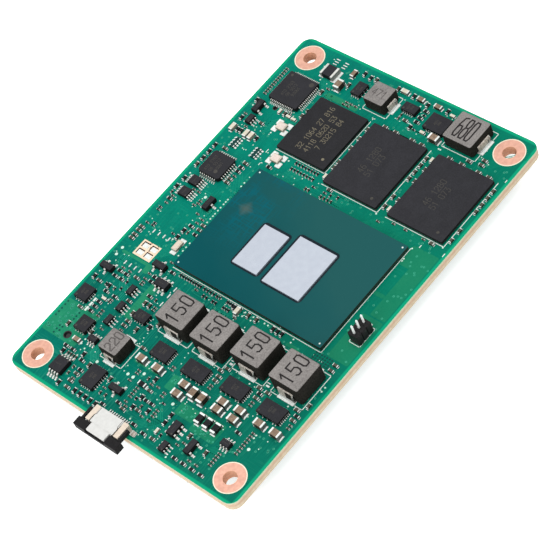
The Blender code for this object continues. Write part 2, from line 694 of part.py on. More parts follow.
def strip_outline(height):
    """A choke's end strip from the side: out of the body, down in a bow, and in under it."""
    steps = 4
    outer = []
    inner = []
    for number in range(steps + 1):
        angle = math.pi / 2 * (1 - number / steps)
        outer.append((CHOKE_STRIP_REACH * math.cos(angle), height * math.sin(angle)))
        inner.append(((CHOKE_STRIP_REACH - CHOKE_STRIP) * math.cos(angle),
                      CHOKE_STRIP + (height - 2 * CHOKE_STRIP) * math.sin(angle)))
    start = [(-JOIN_DEPTH * 4, height - CHOKE_STRIP), (-JOIN_DEPTH * 4, height)]
    return start + outer + list(reversed(inner))


def choke(name, place, turn, width, length, height):
    """A moulded choke: a rounded block with a bent metal strip at each end."""
    mesh = bmesh.new()
    add_block(mesh, (width, length, height), (0, 0, height / 2))
    round_upright_edges(mesh, CHOKE_EDGE_RADIUS, 3)
    top_edges = [edge for edge in mesh.edges if min(v.co.z for v in edge.verts) > height * 0.99]
    bmesh.ops.bevel(mesh, geom=top_edges, offset=CHOKE_EDGE_RADIUS / 3, segments=1, profile=0.5,
                    affect="EDGES", clamp_overlap=True)
    piece = solid(name, mesh, "choke_grey", spot(place, SEAT), turn)
    shape = outline_mesh(strip_outline(height * 0.55), length / 2)
    strips = bmesh.new()
    for facing in (0, 180):
        add_lead_row(strips, shape, width / 2, (0,), facing)
    shape.free()
    combine(piece, strips, "strips", "UNION")
    return piece


def header():
    """A three-pin header: a black carrier with the square pins standing through it."""
    place = spot((-51, -250), SEAT)
    length = HEADER_PITCH * HEADER_PINS
    mesh = bmesh.new()
    add_block(mesh, (length, HEADER_DEPTH, HEADER_HEIGHT), (0, 0, HEADER_HEIGHT / 2))
    carrier = solid("header_carrier", mesh, "header_black", place)
    holes = bmesh.new()
    side = HEADER_PIN_SIDE + 2 * PEG_CLEARANCE
    spots = [(number - (HEADER_PINS - 1) / 2) * HEADER_PITCH for number in range(HEADER_PINS)]
    for across in spots:
        add_block(holes, (side, side, HEADER_HEIGHT + 2 * OVERCUT), (across, 0, HEADER_HEIGHT / 2))
    combine(carrier, holes, "pin_holes", "DIFFERENCE")
    pin_length = HEADER_HEIGHT + HEADER_PIN_RISE
    for number, across in enumerate(spots):
        mesh = bmesh.new()
        body = pin_length - HEADER_PIN_SIDE
        add_block(mesh, (HEADER_PIN_SIDE, HEADER_PIN_SIDE, body), (0, 0, body / 2))
        top = [face for face in mesh.faces if face.normal.z > 0.9]
        tip = bmesh.ops.extrude_face_region(mesh, geom=top)
        points = [item for item in tip["geom"] if isinstance(item, bmesh.types.BMVert)]
        bmesh.ops.delete(mesh, geom=top, context="FACES_ONLY")
        bmesh.ops.translate(mesh, vec=(0, 0, HEADER_PIN_SIDE), verts=points)
        bmesh.ops.scale(mesh, vec=(HEADER_TIP_SCALE, HEADER_TIP_SCALE, 1), verts=points)
        solid("header_pin_%d" % (number + 1), mesh, "pin_metal", place + Vector((across, 0, 0)))


def diode():
    """A moulded diode with a metal cap at each end."""
    mesh = bmesh.new()
    width = DIODE_WIDTH - 2 * DIODE_CAP_RISE
    length = DIODE_LENGTH - DIODE_CAP_LENGTH
    height = DIODE_HEIGHT - DIODE_CAP_RISE
    add_block(mesh, (width, length, height), (0, 0, height / 2))
    piece = solid("clamp_diode", mesh, "moulded_black", spot((367.5, 171.5), SEAT))
    caps = bmesh.new()
    for side in (-1, 1):
        add_block(caps, (DIODE_WIDTH, DIODE_CAP_LENGTH, DIODE_HEIGHT),
                  (0, side * (DIODE_LENGTH - DIODE_CAP_LENGTH) / 2, DIODE_HEIGHT / 2))
    combine(piece, caps, "caps", "UNION")
    return piece


def cable_place():
    """The flat cable connector's mouth centre on the board: it overhangs the short edge."""
    return Vector((-BOARD_LENGTH / 2 - CABLE_OVERHANG, spot((0, 12)).y, SEAT))


def cable_width():
    """Room between the connector's end walls."""
    return CABLE_PITCH * (CABLE_CONTACTS - 1) + 2 * CABLE_SIDE_ROOM


def cable_roof_width():
    """The width of the roof where it reaches out over the mouth, between the slider's ears."""
    return cable_width() - 2 * SLIDE_CLEARANCE - 2 * CABLE_ROOF_STEP


def cable_housing():
    """The flat cable connector's housing, with its slot, contacts and solder tails."""
    room = cable_width()
    width = room + 2 * CABLE_END_WALL
    depth = CABLE_BODY_DEPTH
    height = CABLE_BODY_HEIGHT
    mesh = bmesh.new()
    add_block(mesh, (depth, width, height), (depth / 2, 0, height / 2))
    housing = solid("cable_connector_housing", mesh, "cable_housing", cable_place())
    roof = bmesh.new()
    overhang = CABLE_ROOF_OVERHANG
    add_block(roof, (overhang + depth / 2, cable_roof_width(), CABLE_ROOF),
              ((depth / 2 - overhang) / 2, 0, height - CABLE_ROOF / 2))
    combine(housing, roof, "roof", "UNION")
    slot = bmesh.new()
    slot_height = height - CABLE_ROOF - CABLE_FLOOR
    add_block(slot, (CABLE_SLOT_DEPTH + OVERCUT, room, slot_height),
              ((CABLE_SLOT_DEPTH - OVERCUT) / 2, 0, CABLE_FLOOR + slot_height / 2))
    combine(housing, slot, "slot", "DIFFERENCE")
    contacts = bmesh.new()
    first = -(CABLE_CONTACTS - 1) / 2
    for number in range(CABLE_CONTACTS):
        side = (first + number) * CABLE_PITCH
        add_block(contacts, (CABLE_TAIL_LENGTH, CABLE_CONTACT_WIDTH, CABLE_TAIL_THICKNESS),
                  (depth + CABLE_TAIL_LENGTH / 2 - JOIN_DEPTH, side, CABLE_TAIL_THICKNESS / 2))
        add_block(contacts, (CABLE_BLADE_LENGTH, CABLE_CONTACT_WIDTH, CABLE_BLADE_THICKNESS),
                  (CABLE_SLOT_DEPTH + 2 * JOIN_DEPTH - CABLE_BLADE_LENGTH / 2, side,
                   CABLE_FLOOR - JOIN_DEPTH / 4 + CABLE_BLADE_THICKNESS / 2))
    combine(housing, contacts, "contacts", "UNION")
    return housing


def cable_tabs():
    """The two solder tabs that hold the flat cable connector's ends to the board."""
    half = cable_width() / 2 + CABLE_END_WALL + SOLDER_GAP
    for number, side in enumerate((-1, 1)):
        mesh = bmesh.new()
        add_block(mesh, (CABLE_TAB_WIDTH, CABLE_TAB_WIDTH, LEAD_THICKNESS),
                  (0, side * CABLE_TAB_WIDTH / 2, LEAD_THICKNESS / 2))
        place = cable_place() + Vector((CABLE_BODY_DEPTH - CABLE_TAB_WIDTH / 2, side * half, 0))
        tab = solid("cable_connector_tab_%d" % (number + 1), mesh, "pin_metal", place)
        upright = bmesh.new()
        add_block(upright, (CABLE_TAB_WIDTH, LEAD_THICKNESS, CABLE_TAB_HEIGHT),
                  (0, side * LEAD_THICKNESS / 2, CABLE_TAB_HEIGHT / 2))
        combine(tab, upright, "upright", "UNION")


def cable_slider():
    """The slider that clamps the flat cable: a bar with a tongue, two ears and two side arms."""
    room = cable_width()
    half = room / 2 + CABLE_END_WALL
    under_roof = CABLE_BODY_HEIGHT - CABLE_ROOF - SLIDE_CLEARANCE
    bar_front = -CABLE_ROOF_OVERHANG - SLIDER_BAR + SLIDE_CLEARANCE
    mesh = bmesh.new()
    bar_top = under_roof
    add_block(mesh, (SLIDER_BAR, room + 2 * CABLE_END_WALL, SLIDER_BAR_HEIGHT),
              (bar_front + SLIDER_BAR / 2, 0, bar_top - SLIDER_BAR_HEIGHT / 2))
    slider = solid("cable_connector_slider", mesh, "cable_slider", cable_place())
    rest = bmesh.new()
    tongue_length = CABLE_SLOT_DEPTH - OVERCUT * 2 - bar_front
    add_block(rest, (tongue_length, room - 2 * SLIDE_CLEARANCE, SLIDER_TONGUE),
              (bar_front + tongue_length / 2 + JOIN_DEPTH, 0, bar_top - SLIDER_TONGUE / 2))
    combine(slider, rest, "tongue", "UNION")
    sides = bmesh.new()
    ear_inner = cable_roof_width() / 2 + SLIDE_CLEARANCE
    for side in (-1, 1):
        add_block(sides, (SLIDER_EAR_LENGTH, SLIDER_EAR_WIDTH, SLIDER_EAR_HEIGHT),
                  (bar_front + SLIDER_EAR_LENGTH / 2, side * (ear_inner + SLIDER_EAR_WIDTH / 2),
                   SLIDER_EAR_HEIGHT / 2))
    combine(slider, sides, "ears", "UNION")
    arms = bmesh.new()
    for side in (-1, 1):
        add_block(arms, (SLIDER_ARM_LENGTH + SLIDER_EAR_LENGTH, SLIDER_ARM_WIDTH, SLIDER_ARM_HEIGHT),
                  (bar_front + (SLIDER_ARM_LENGTH + SLIDER_EAR_LENGTH) / 2,
                   side * (half + SLIDE_CLEARANCE + SLIDER_ARM_WIDTH / 2),
                   SLIDER_EAR_HEIGHT - SLIDER_ARM_HEIGHT / 2))
    combine(slider, arms, "arms", "UNION")
    return slider


def module_plug():
    """The board-to-board plug: a long shroud round a contact tongue, with two locating pegs."""
    centre = plug_centre()
    top = -SOLDER_GAP
    mesh = bmesh.new()
    add_block(mesh, (PLUG_LENGTH, PLUG_WIDTH, PLUG_HEIGHT), (0, 0, top - PLUG_HEIGHT / 2))
    plug = solid("module_plug", mesh, "plug_black", centre)
    cavity = bmesh.new()
    depth = PLUG_HEIGHT - PLUG_FLOOR
    low = top - PLUG_HEIGHT - OVERCUT
    inner = (PLUG_LENGTH - 2 * PLUG_WALL, PLUG_WIDTH - 2 * PLUG_WALL, depth + OVERCUT)
    add_block(cavity, inner, (0, 0, low + inner[2] / 2))
    combine(plug, cavity, "cavity", "DIFFERENCE")
    tongue = bmesh.new()
    tongue_height = depth - PLUG_TONGUE_DROP + JOIN_DEPTH
    add_block(tongue, (PLUG_LENGTH - 2 * PLUG_WALL - 2 * PLUG_TONGUE_END, PLUG_TONGUE_WIDTH, tongue_height),
              (0, 0, top - PLUG_FLOOR + JOIN_DEPTH - tongue_height / 2))
    combine(plug, tongue, "tongue", "UNION")
    pegs = bmesh.new()
    for place, radius in plug_pegs():
        add_cylinder(pegs, radius - PEG_CLEARANCE, top - JOIN_DEPTH, PLUG_PEG_LENGTH, place - centre, PEG_SIDES)
    combine(plug, pegs, "pegs", "UNION")
    return plug


def build():
    """Make every piece of the module."""
    circuit_board()
    processor()
    flat_package("storage_chip", (248, 90), STORAGE_WIDTH, STORAGE_LENGTH, MEMORY_THICKNESS,
                 MEMORY_EDGE_RADIUS)
    for number, place in enumerate(((238, -43.5), (238, -193))):
        flat_package("memory_chip_%d" % (number + 1), place, MEMORY_WIDTH, MEMORY_LENGTH,
                     MEMORY_THICKNESS, MEMORY_EDGE_RADIUS)
    for name, place, width, length in POWER_STAGES:
        flat_package(name, place, width, length, POWER_STAGE_HEIGHT, MEMORY_EDGE_RADIUS / 2)
    for name, place, width, length in REGULATORS:
        flat_package(name, place, width, length, REGULATOR_HEIGHT, MEMORY_EDGE_RADIUS / 2)
    for row in LEADED_PACKAGES:
        leaded_package(*row)
    for row in QUAD_PACKAGES:
        quad_package(*row)
    for row in CRYSTALS:
        crystal(*row)
    for row in CHOKES:
        choke(*row)
    header()
    diode()
    cable_housing()
    cable_tabs()
    cable_slider()
    module_plug()


build()
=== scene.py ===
"""The looks of a small system on module: board, chips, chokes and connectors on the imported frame.

Lengths are worked out in millimetres in the frame's own axes and put into the meshes in metres:
+X along the board towards the memory chips, +Y towards the edge over the plug, +Z up.
"""
import math

import bpy
import numpy as np
from mathutils import Matrix, Vector


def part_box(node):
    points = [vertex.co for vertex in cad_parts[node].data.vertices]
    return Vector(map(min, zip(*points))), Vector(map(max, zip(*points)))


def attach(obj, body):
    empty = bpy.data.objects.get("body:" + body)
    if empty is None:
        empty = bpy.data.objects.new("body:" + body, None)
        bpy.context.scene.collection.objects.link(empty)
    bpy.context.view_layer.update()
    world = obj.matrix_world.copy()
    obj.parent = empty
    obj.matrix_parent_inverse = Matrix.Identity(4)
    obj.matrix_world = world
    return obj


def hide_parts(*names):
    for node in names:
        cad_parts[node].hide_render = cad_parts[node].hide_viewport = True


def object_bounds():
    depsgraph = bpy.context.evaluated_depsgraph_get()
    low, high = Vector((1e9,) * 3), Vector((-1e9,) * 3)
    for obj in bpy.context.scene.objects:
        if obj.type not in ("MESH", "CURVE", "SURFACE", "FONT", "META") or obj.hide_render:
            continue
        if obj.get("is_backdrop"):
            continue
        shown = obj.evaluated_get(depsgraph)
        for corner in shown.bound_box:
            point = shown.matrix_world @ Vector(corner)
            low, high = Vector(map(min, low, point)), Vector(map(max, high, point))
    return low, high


bl_info = {
    "name": "System on Module Looks",
    "version": (1, 0, 0),
    "blender": (4, 5, 0),
    "location": "View3D > Sidebar > Module",
    "description": "Builds the visible surfaces of a small system on module on its solid frame",
    "category": "Object",
}

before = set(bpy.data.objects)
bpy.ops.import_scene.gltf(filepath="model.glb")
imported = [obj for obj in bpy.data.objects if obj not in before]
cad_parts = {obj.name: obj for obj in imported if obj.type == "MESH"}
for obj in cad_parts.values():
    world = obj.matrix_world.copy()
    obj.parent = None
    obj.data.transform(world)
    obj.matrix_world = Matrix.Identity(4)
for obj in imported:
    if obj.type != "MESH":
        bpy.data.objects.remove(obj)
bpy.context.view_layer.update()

MM = 0.001
BOARD_TOP = 2.0
# The height at which packages start, and those at which films and pads start in the board
SEAT = 2.3
FILM_BASE = BOARD_TOP - 0.01
PAD_BASE = BOARD_TOP - 0.02
# Depths of a finish's grain, in metres
GRAIN_DEPTH = 0.00002
FINE_DEPTH = 0.00001
# Where the board's crowded end begins and is full, with painted shade over it, and where its bright border
# begins
CROWDED_FROM, CROWDED_TO = -9 * MM, -15 * MM
BORDER_X, BORDER_Y = 41.3 * MM, 26.8 * MM
# The board's edge: distance of its copper layers, middle of its core, and where the painted highlight along
# its upper rim begins
LAYER_PITCH, CORE_MIDDLE, RIM_HIGHLIGHT_START = 0.29 * MM, 1.15 * MM, 1.8 * MM
# The screw holes' distance from the board's middle, and half the square kept clear of vias there
SCREW_HOLE = (38, 23.5)
SCREW_CLEARANCE = 3.6
# Height of print over a top, and how much higher each further stroke of a digit lies
PRINT_RISE = 0.006
STROKE_RISE = 0.0003
# The camera, as fitted to the photo's four screw holes: angles in degrees, its distance from the
# point that it aims at, that point's place on the board's top, and its lens on a 36 mm sensor
VIEW_AZIMUTH = 330.999
VIEW_ELEVATION = 50.916
VIEW_ROLL = -25.181
VIEW_DISTANCE = 355.07
VIEW_AIM = (-3.31, -3.403)
VIEW_LENS = 134.46
CABLE_CONTACTS = 10
PLUG_CONTACTS = 110
CONTACT_PITCH = 0.5
ROOT = "module"
MOVING = "cable_slider"

# Chip sizes: length over the ends, width, height
CHIP_SIZES = {
    "small": (1.0, 0.5, 0.42),
    "medium": (1.6, 0.8, 0.7),
    "capacitor": (2.0, 1.25, 1.25),
    "resistor": (2.0, 1.1, 0.85),
    "array": (1.0, 2.3, 0.4),
    "mini": (0.6, 0.3, 0.28),
}

# Chips by finish, size and the direction of their ends. A lone chip is its place, and a row is
# its first place, its number of chips and the step across and up to the next
CHIP_ROWS = {
    ("black", "mini", "x"): (
        (-12.1, 11.7, 9, 0, -0.62), (-12.1, 5.8, 4, 0, -0.75), (-12.1, 2.7, 2, 0, -0.65),
        (-12.1, 0.2, 3, 0, -0.55), (-13.35, 5.0, 2, 0, -0.75), (-13.35, 2.7, 2, 0, -0.7),
        (-13.35, 0.1, 3, 0, -0.6), (16.0, 9.3, 8, 0, -0.74), (17.4, 9.3, 8, 0, -0.74),
        (14.8, -1.1, 2, 0.3, -1.5), (-20.5, 22.7), (-19.9, 19.5, 2, 1.6, 0), (-35.3, 1.1),
        (-38.4, -7.7),
    ),
    ("black", "small", "x"): (
        (-12.3, -1.6), (-12.2, -10.7, 3, 0, -1.02), (33.9, -4.2), (39.9, -0.4), (39.4, -4.0),
        (40.0, -8.2), (39.75, 11.2, 2, -0.25, -1.6), (18.1, 24.5, 2, 0, -0.9), (18.1, 19.8),
        (9.8, 25.9, 3, 1.68, 0), (20.6, 25.7), (25.2, 25.8), (-6.2, 17.9), (-4.5, 17.85), (2.4, 26.0),
        (4.5, 25.9), (-20.4, 25.8), (-20.6, 21.9), (-23.3, 9.0), (-35.1, 19.7), (-33.7, 15.7),
        (-40.3, 15.7), (-40.0, 11.9, 5, 0, -1.3), (-36.9, 0.4), (-34.6, 0.3), (-36.1, -2.6),
        (-30.7, 0.6), (-36.2, -6.7, 2, 1.7, 0),
    ),
    ("pale", "medium", "x"): (
        (-12.65, -2.75), (18.0, 25.6), (18.0, 22.2, 2, 0, -1.2),
    ),
    ("tan", "small", "x"): (
        (-12.3, -5.0, 2, 0, -1.85), (20.0, 2.35, 2, 1.35, 0), (24.9, 2.35, 3, 2.4, 0),
        (17.8, -11.35, 2, 2.4, 0), (24.7, -11.35, 4, 1.65, 0), (20.0, -12.7), (24.7, -12.7, 2, 2.9, 0),
        (17.8, -26.3, 2, 2.3, 0), (24.7, -26.3, 4, 1.65, 0), (39.9, 3.3), (39.6, 8.3), (36.2, 12.3),
        (32.5, 15.9), (26.3, 15.5), (25.2, 18.8), (8.1, 26.0), (-22.7, 13.8), (-24.9, 10.8),
        (-22.0, 7.9), (-19.95, 13.3, 2, 0, -1.1), (-30.4, 22.9), (-29.6, 17.75), (-34.8, 13.2),
        (-34.9, 7.9), (-35.8, -12.3), (-36.8, -16.9), (-20.7, -26.2),
    ),
    ("tan", "mini", "y"): (
        (-13.0, 7.0), (-13.9, -3.1), (15.65, -15.1, 2, 0, -2.7), (15.65, -21.8), (14.7, -12.3),
        (32.3, 10.3, 2, 0, -1.0), (32.9, 10.0, 3, 0, -1.05), (33.7, 15.3), (27.2, 25.6, 12, 0.6, 0),
        (25.6, 17.9), (9.5, 17.7), (21.7, 25.7), (19.4, 23.6), (-2.0, 16.8, 2, 1.0, -0.4),
        (-1.4, 25.2, 2, 1.8, 0), (3.45, 22.5, 2, 0, -1.2), (0.8, 20.1), (1.4, 19.6, 2, 0.65, 0),
        (-0.4, 18.1), (-26.4, 19.2, 3, 0.63, 0), (-23.1, 19.4, 2, 0.5, 0), (-16.3, 22.3, 2, 0, -1.7),
        (-17.3, 16.8, 2, 0.55, 0), (-16.0, 17.0, 2, 1.2, 0), (-26.4, 13.3), (-20.3, 11.0, 2, 0.6, 0),
        (-10.9, 15.0), (-28.1, 16.6), (-38.3, 14.0), (-36.7, 7.6), (-36.7, 2.3),
        (-35.6, 2.35, 4, 0.65, 0), (-37.4, 1.7), (-37.4, -2.2, 2, 0, -1.7), (-36.4, -3.9, 3, 0.65, 0),
        (-32.6, -2.6, 2, 0.7, 0), (-33.2, 4.7), (-31.5, 4.5, 2, 0.65, 0), (-31.8, 0.6), (-31.6, -0.8),
        (-27.7, -0.5, 2, 0.6, 0), (-39.4, -15.4, 2, 0, -1.6), (-38.2, -11.5), (-37.35, -12.3),
        (-38.1, -19.0, 5, 0.62, 0), (-34.1, -21.4, 8, 0.64, 0), (-27.0, -8.8, 2, 0.6, 0),
        (-25.8, -17.3, 2, 0.65, 0), (-25.8, -25.9, 2, 0.65, 0),
    ),
    ("tan", "mini", "x"): (
        (13.8, 4.0, 2, 0, -0.7), (13.8, 0.4, 4, 0, -0.8), (34.6, -0.9, 2, 0.8, 0), (27.8, 15.5),
        (-4.5, 16.9), (1.0, 26.0), (-20.5, 20.6), (-18.5, 12.0), (-34.9, 18.6, 4, 0, -0.68),
        (-37.9, 15.6, 2, 1.4, 0), (-37.8, 7.6), (-37.7, 6.4), (-36.0, -0.8), (-31.2, 1.9),
    ),
    ("black", "mini", "y"): (
        (14.8, 2.9, 2, 0, -2.7), (33.8, -5.1), (37.3, -4.85), (-6.55, 25.3), (-6.5, 23.9, 2, 0.55, 0),
        (-6.0, 19.2), (-3.3, 25.5, 2, 0.6, 0), (-33.5, -3.9),
    ),
    ("tan", "small", "y"): (
        (15.7, -0.2), (31.75, -0.2, 2, 0, -2.5), (31.75, -6.5, 2, 0, -2.2), (31.75, -15.1, 2, 0, -2.7),
        (31.75, -21.5, 2, 0, -2.3), (15.6, -23.7), (32.9, -18.5), (33.3, -20.95, 2, 1.0, 0),
        (34.7, -2.5), (13.5, 23.6), (7.7, 18.0, 2, 0.9, 0), (12.7, 17.7), (21.3, 21.3),
        (-10.6, 25.5, 2, 0.85, 0), (-8.65, 25.5, 2, 0.85, 0), (-3.0, 15.25, 2, 1.1, 0), (-26.7, 23.4),
        (-20.7, 24.3), (-16.7, 18.5), (-21.15, 16.2), (-25.4, 13.4, 2, 1.0, 0),
        (-38.9, 14.0, 2, 1.6, 0), (-40.2, 13.6), (-38.1, 1.7), (-36.9, -0.9), (-32.9, 0.0),
        (-39.7, -7.0), (-27.1, 7.0), (-25.3, -8.8, 2, 0.9, 0), (-23.3, -8.2), (-22.4, -9.1),
        (-24.2, -17.3), (-22.4, -16.5, 2, 0, -1.9), (-24.2, -25.6), (-22.3, -24.9),
        (-13.4, -25.0, 2, 1.2, 0),
    ),
    ("pale", "small", "x"): (
        (17.7, 2.5), (17.8, -12.45, 2, 12.1, 0), (25.2, 20.0), (-38.1, -6.6),
    ),
    ("tan", "capacitor", "y"): (
        (33.65, -10.1), (-29.0, 5.3, 2, 0, -3.9), (-31.0, -5.1, 2, 2.05, 0), (-29.6, -13.3, 2, 1.6, 0),
        (-29.6, -17.0, 2, 1.85, 0), (-27.85, -21.5, 2, 0, -3.6),
    ),
    ("pale", "small", "y"): (
        (34.0, -7.0), (39.6, -9.6), (25.0, 17.7, 2, -0.05, -1.3), (-23.1, 20.7),
    ),
    ("black", "small", "y"): (
        (35.4, -4.6, 2, 1.05, 0), (38.15, -4.6), (10.6, 17.8, 2, 1.0, 0), (14.2, 13.2), (-3.1, 17.2),
        (-4.2, 15.2), (-0.4, 25.2), (-26.3, 21.1, 3, 1.1, 0), (-21.75, 21.5), (-21.8, 19.2),
        (-18.4, 22.4, 2, 0, -1.6), (-17.1, 22.3, 2, 0, -1.6), (-15.95, 15.5, 2, 1.05, 0),
        (-18.45, 13.5), (-12.5, 13.3), (-34.0, 19.9, 2, 0, -1.7), (-34.8, 15.1), (-36.4, 13.9),
        (-39.3, 5.5), (-37.6, 3.2), (-34.7, -0.9, 2, 0, -1.3), (-39.8, -4.9), (-39.35, -2.2),
        (-40.4, -12.9, 4, 0, -2.02), (-30.9, -19.1), (-23.25, -17.3), (-23.25, -25.7),
    ),
    ("pale", "medium", "y"): (
        (39.9, 1.6),
    ),
    ("tan", "medium", "y"): (
        (39.8, -2.2), (39.9, -6.1), (-32.15, 18.9),
    ),
    ("tan", "capacitor", "x"): (
        (35.1, 13.6), (-29.4, -7.5, 2, 0, -2.1),
    ),
    ("tan", "medium", "x"): (
        (38.7, 13.0),
    ),
    ("black", "array", "y"): (
        (15.5, 22.8, 2, 0, -5.2),
    ),
    ("black", "medium", "y"): (
        (-32.7, 1.9),
    ),
    ("black", "resistor", "x"): (
        (-32.45, -11.7, 3, 0, -1.87),
    ),
}


class Shape:
    """A surface in millimetres: points, faces as runs of point numbers, and a paint for each face."""

    def __init__(self, points, loops, counts, paint, smooth=False):
        self.points = np.asarray(points, float).reshape(-1, 3)
        self.loops = np.asarray(loops, int)
        self.counts = np.asarray(counts, int)
        self.paint = np.broadcast_to(np.asarray(paint, int), self.counts.shape).copy()
        self.smooth = np.broadcast_to(np.asarray(smooth, bool), self.counts.shape).copy()

    def moved(self, move, turn=0.0):
        """The surface turned about +Z by degrees, and then moved."""
        return repeated(self, [move], [turn])

    def turned(self, turn):
        """The surface turned about +Z by degrees in its place."""
        return self.moved((0, 0, 0), turn)


def joined(*shapes):
    """Several surfaces as one, with the later ones' point numbers carried on."""
    starts = np.cumsum([0] + [len(shape.points) for shape in shapes[:-1]])
    return Shape(
        np.concatenate([shape.points for shape in shapes]),
        np.concatenate([shape.loops + start for shape, start in zip(shapes, starts)]),
        np.concatenate([shape.counts for shape in shapes]),
        np.concatenate([shape.paint for shape in shapes]),
        np.concatenate([shape.smooth for shape in shapes]),
    )


def repeated(shape, moves, turns=None, sizes=None):
    """Copies of a surface: each point p becomes turn(size * p) + move, for all copies at once."""
    moves = np.asarray(moves, float).reshape(-1, 3)
    copies = len(moves)
    angles = np.radians(np.zeros(copies) if turns is None else np.asarray(turns, float))
    sizes = np.ones((copies, 3)) if sizes is None else np.asarray(sizes, float)
    scaled = shape.points[None] * sizes[:, None]
    cosine = np.cos(angles)[:, None]
    sine = np.sin(angles)[:, None]
    across = cosine * scaled[..., 0] - sine * scaled[..., 1]
    up = sine * scaled[..., 0] + cosine * scaled[..., 1]
    points = np.stack([across, up, scaled[..., 2]], -1) + moves[:, None]
    offsets = np.arange(copies) * len(shape.points)
    loops = (shape.loops[None] + offsets[:, None]).ravel()
    return Shape(points.reshape(-1, 3), loops, np.tile(shape.counts, copies),
                 np.tile(shape.paint, copies), np.tile(shape.smooth, copies))


def at_height(places, height=0.0):
    """Places on a plane as moves or points at one height."""
    return np.column_stack([places, np.full(len(places), height)])


def evenly(count, pitch):
    """Places along a line, a pitch apart and centred on the origin."""
    return (np.arange(count) - (count - 1) / 2) * pitch


def side_by_side(shape, x, shifts):
    """Copies of a surface at one x, and at each of the places along Y."""
    return repeated(shape, [(x, shift, 0) for shift in shifts])


def four_corners(reach_x, reach_y):
    """The corners of a rectangle about the origin, as moves."""
    return np.array([(x, y, 0) for x in (-reach_x, reach_x) for y in (-reach_y, reach_y)])


def ring_stack(rings, paint=0, cap_paint=None, smooth=False, closed=False):
    """A surface through rings of points: quads between neighbouring rings, and a cap at each end."""
    rings = np.asarray(rings, float)
    count, width = rings.shape[:2]
    spans = count if closed else count - 1
    level = np.arange(spans)[:, None] * width
    above = (np.arange(spans)[:, None] + 1) % count * width
    here = np.arange(width)[None]
    after = (here + 1) % width
    quads = np.stack([level + here, level + after, above + after, above + here], -1).reshape(-1, 4)
    loops = quads.ravel()
    counts = np.full(len(quads), 4)
    paints = np.full(len(quads), paint)
    smooths = np.full(len(quads), smooth)
    if not closed:
        bottom = np.arange(width)[::-1]
        top = (count - 1) * width + np.arange(width)
        loops = np.concatenate([loops, bottom, top])
        counts = np.append(counts, [width, width])
        paints = np.append(paints, [paint, paint if cap_paint is None else cap_paint])
        smooths = np.append(smooths, [False, False])
    return Shape(rings.reshape(-1, 3), loops, counts, paints, smooths)


def rounded_outline(width, length, radius, steps):
    """A rounded rectangle, counter-clockwise: each corner is a quarter circle about its own centre."""
    angles = np.linspace(0, math.pi / 2, steps + 1)[None] + np.arange(4)[:, None] * math.pi / 2
    ends = np.array([(1, 1), (-1, 1), (-1, -1), (1, -1)], float)
    centres = ends * (width / 2 - radius, length / 2 - radius)
    arc = np.stack([np.cos(angles), np.sin(angles)], -1) * radius
    return (centres[:, None] + arc).reshape(-1, 2)


def outline_rings(width, length, radius, profile, steps):
    """Rings of a rounded rectangle carried up a profile of (inset, height) pairs."""
    rings = []
    for inset, height in profile:
        shrunk = max(radius - inset, 0.004)
        flat = rounded_outline(width - 2 * inset, length - 2 * inset, shrunk, steps)
        rings.append(at_height(flat, height))
    return np.array(rings)


def slab(width, length, low, high, radius=0.05, edge=0.03, steps=1, paint=0, cap_paint=None, draft=0.0):
    """A low block with rounded corners, an eased edge, and sides that lean in from their middle."""
    middle = (low + high) / 2
    profile = (
        (edge + draft, low),
        (draft, low + edge),
        (0, middle),
        (draft, high - edge),
        (edge + draft, high),
    )
    if not draft:
        profile = (profile[0], profile[1], profile[3], profile[4])
    return ring_stack(outline_rings(width, length, radius, profile, steps), paint, cap_paint)


def slab_between(x0, x1, y0, y1, z0, z1, paint=0, radius=0.08, edge=0.04, steps=1):
    """A slab between two corners."""
    shape = slab(x1 - x0, y1 - y0, z0, z1, radius, edge, steps, paint)
    return shape.moved(((x0 + x1) / 2, (y0 + y1) / 2, 0))


def plate(width, length, low, high, paint=0, radius=0.0, steps=1):
    """A thin flat plate with square edges: two rings of a rounded rectangle."""
    profile = ((0, low), (0, high))
    return ring_stack(outline_rings(width, length, max(radius, 0.004), profile, steps), paint)


def disc(radius, low, high, sides=12, paint=0):
    """A flat round spot."""
    angles = np.arange(sides) * 2 * math.pi / sides
    ring = np.stack([np.cos(angles), np.sin(angles)], -1) * radius
    return ring_stack([at_height(ring, low), at_height(ring, high)], paint)


def annulus(inner, outer, low, high, sides=48, paint=0):
    """A flat ring with a square section, closed round a circle."""
    angles = -np.arange(sides) * 2 * math.pi / sides
    section = np.array([(inner, low), (outer, low), (outer, high), (inner, high)], float)
    rings = np.stack([
        np.cos(angles)[:, None] * section[None, :, 0],
        np.sin(angles)[:, None] * section[None, :, 0],
        np.broadcast_to(section[None, :, 1], (sides, 4)),
    ], -1)
    return ring_stack(rings, paint, closed=True)


def strip(path, width, thickness, paint=0):
    """A flat strip bent along a path in X and Z: its section is carried square to the path."""
    path = np.asarray(path, float)
    heading = np.gradient(path, axis=0)
    heading /= np.linalg.norm(heading, axis=1, keepdims=True)
    side = np.column_stack([-heading[:, 1], heading[:, 0]]) * thickness / 2
    low = path - side
    high = path + side
    half = np.full(len(path), width / 2)
    rings = np.stack([
        np.column_stack([low[:, 0], half, low[:, 1]]),
        np.column_stack([high[:, 0], half, high[:, 1]]),
        np.column_stack([high[:, 0], -half, high[:, 1]]),
        np.column_stack([low[:, 0], -half, low[:, 1]]),
    ], 1)
    return facing_out(ring_stack(rings, paint))


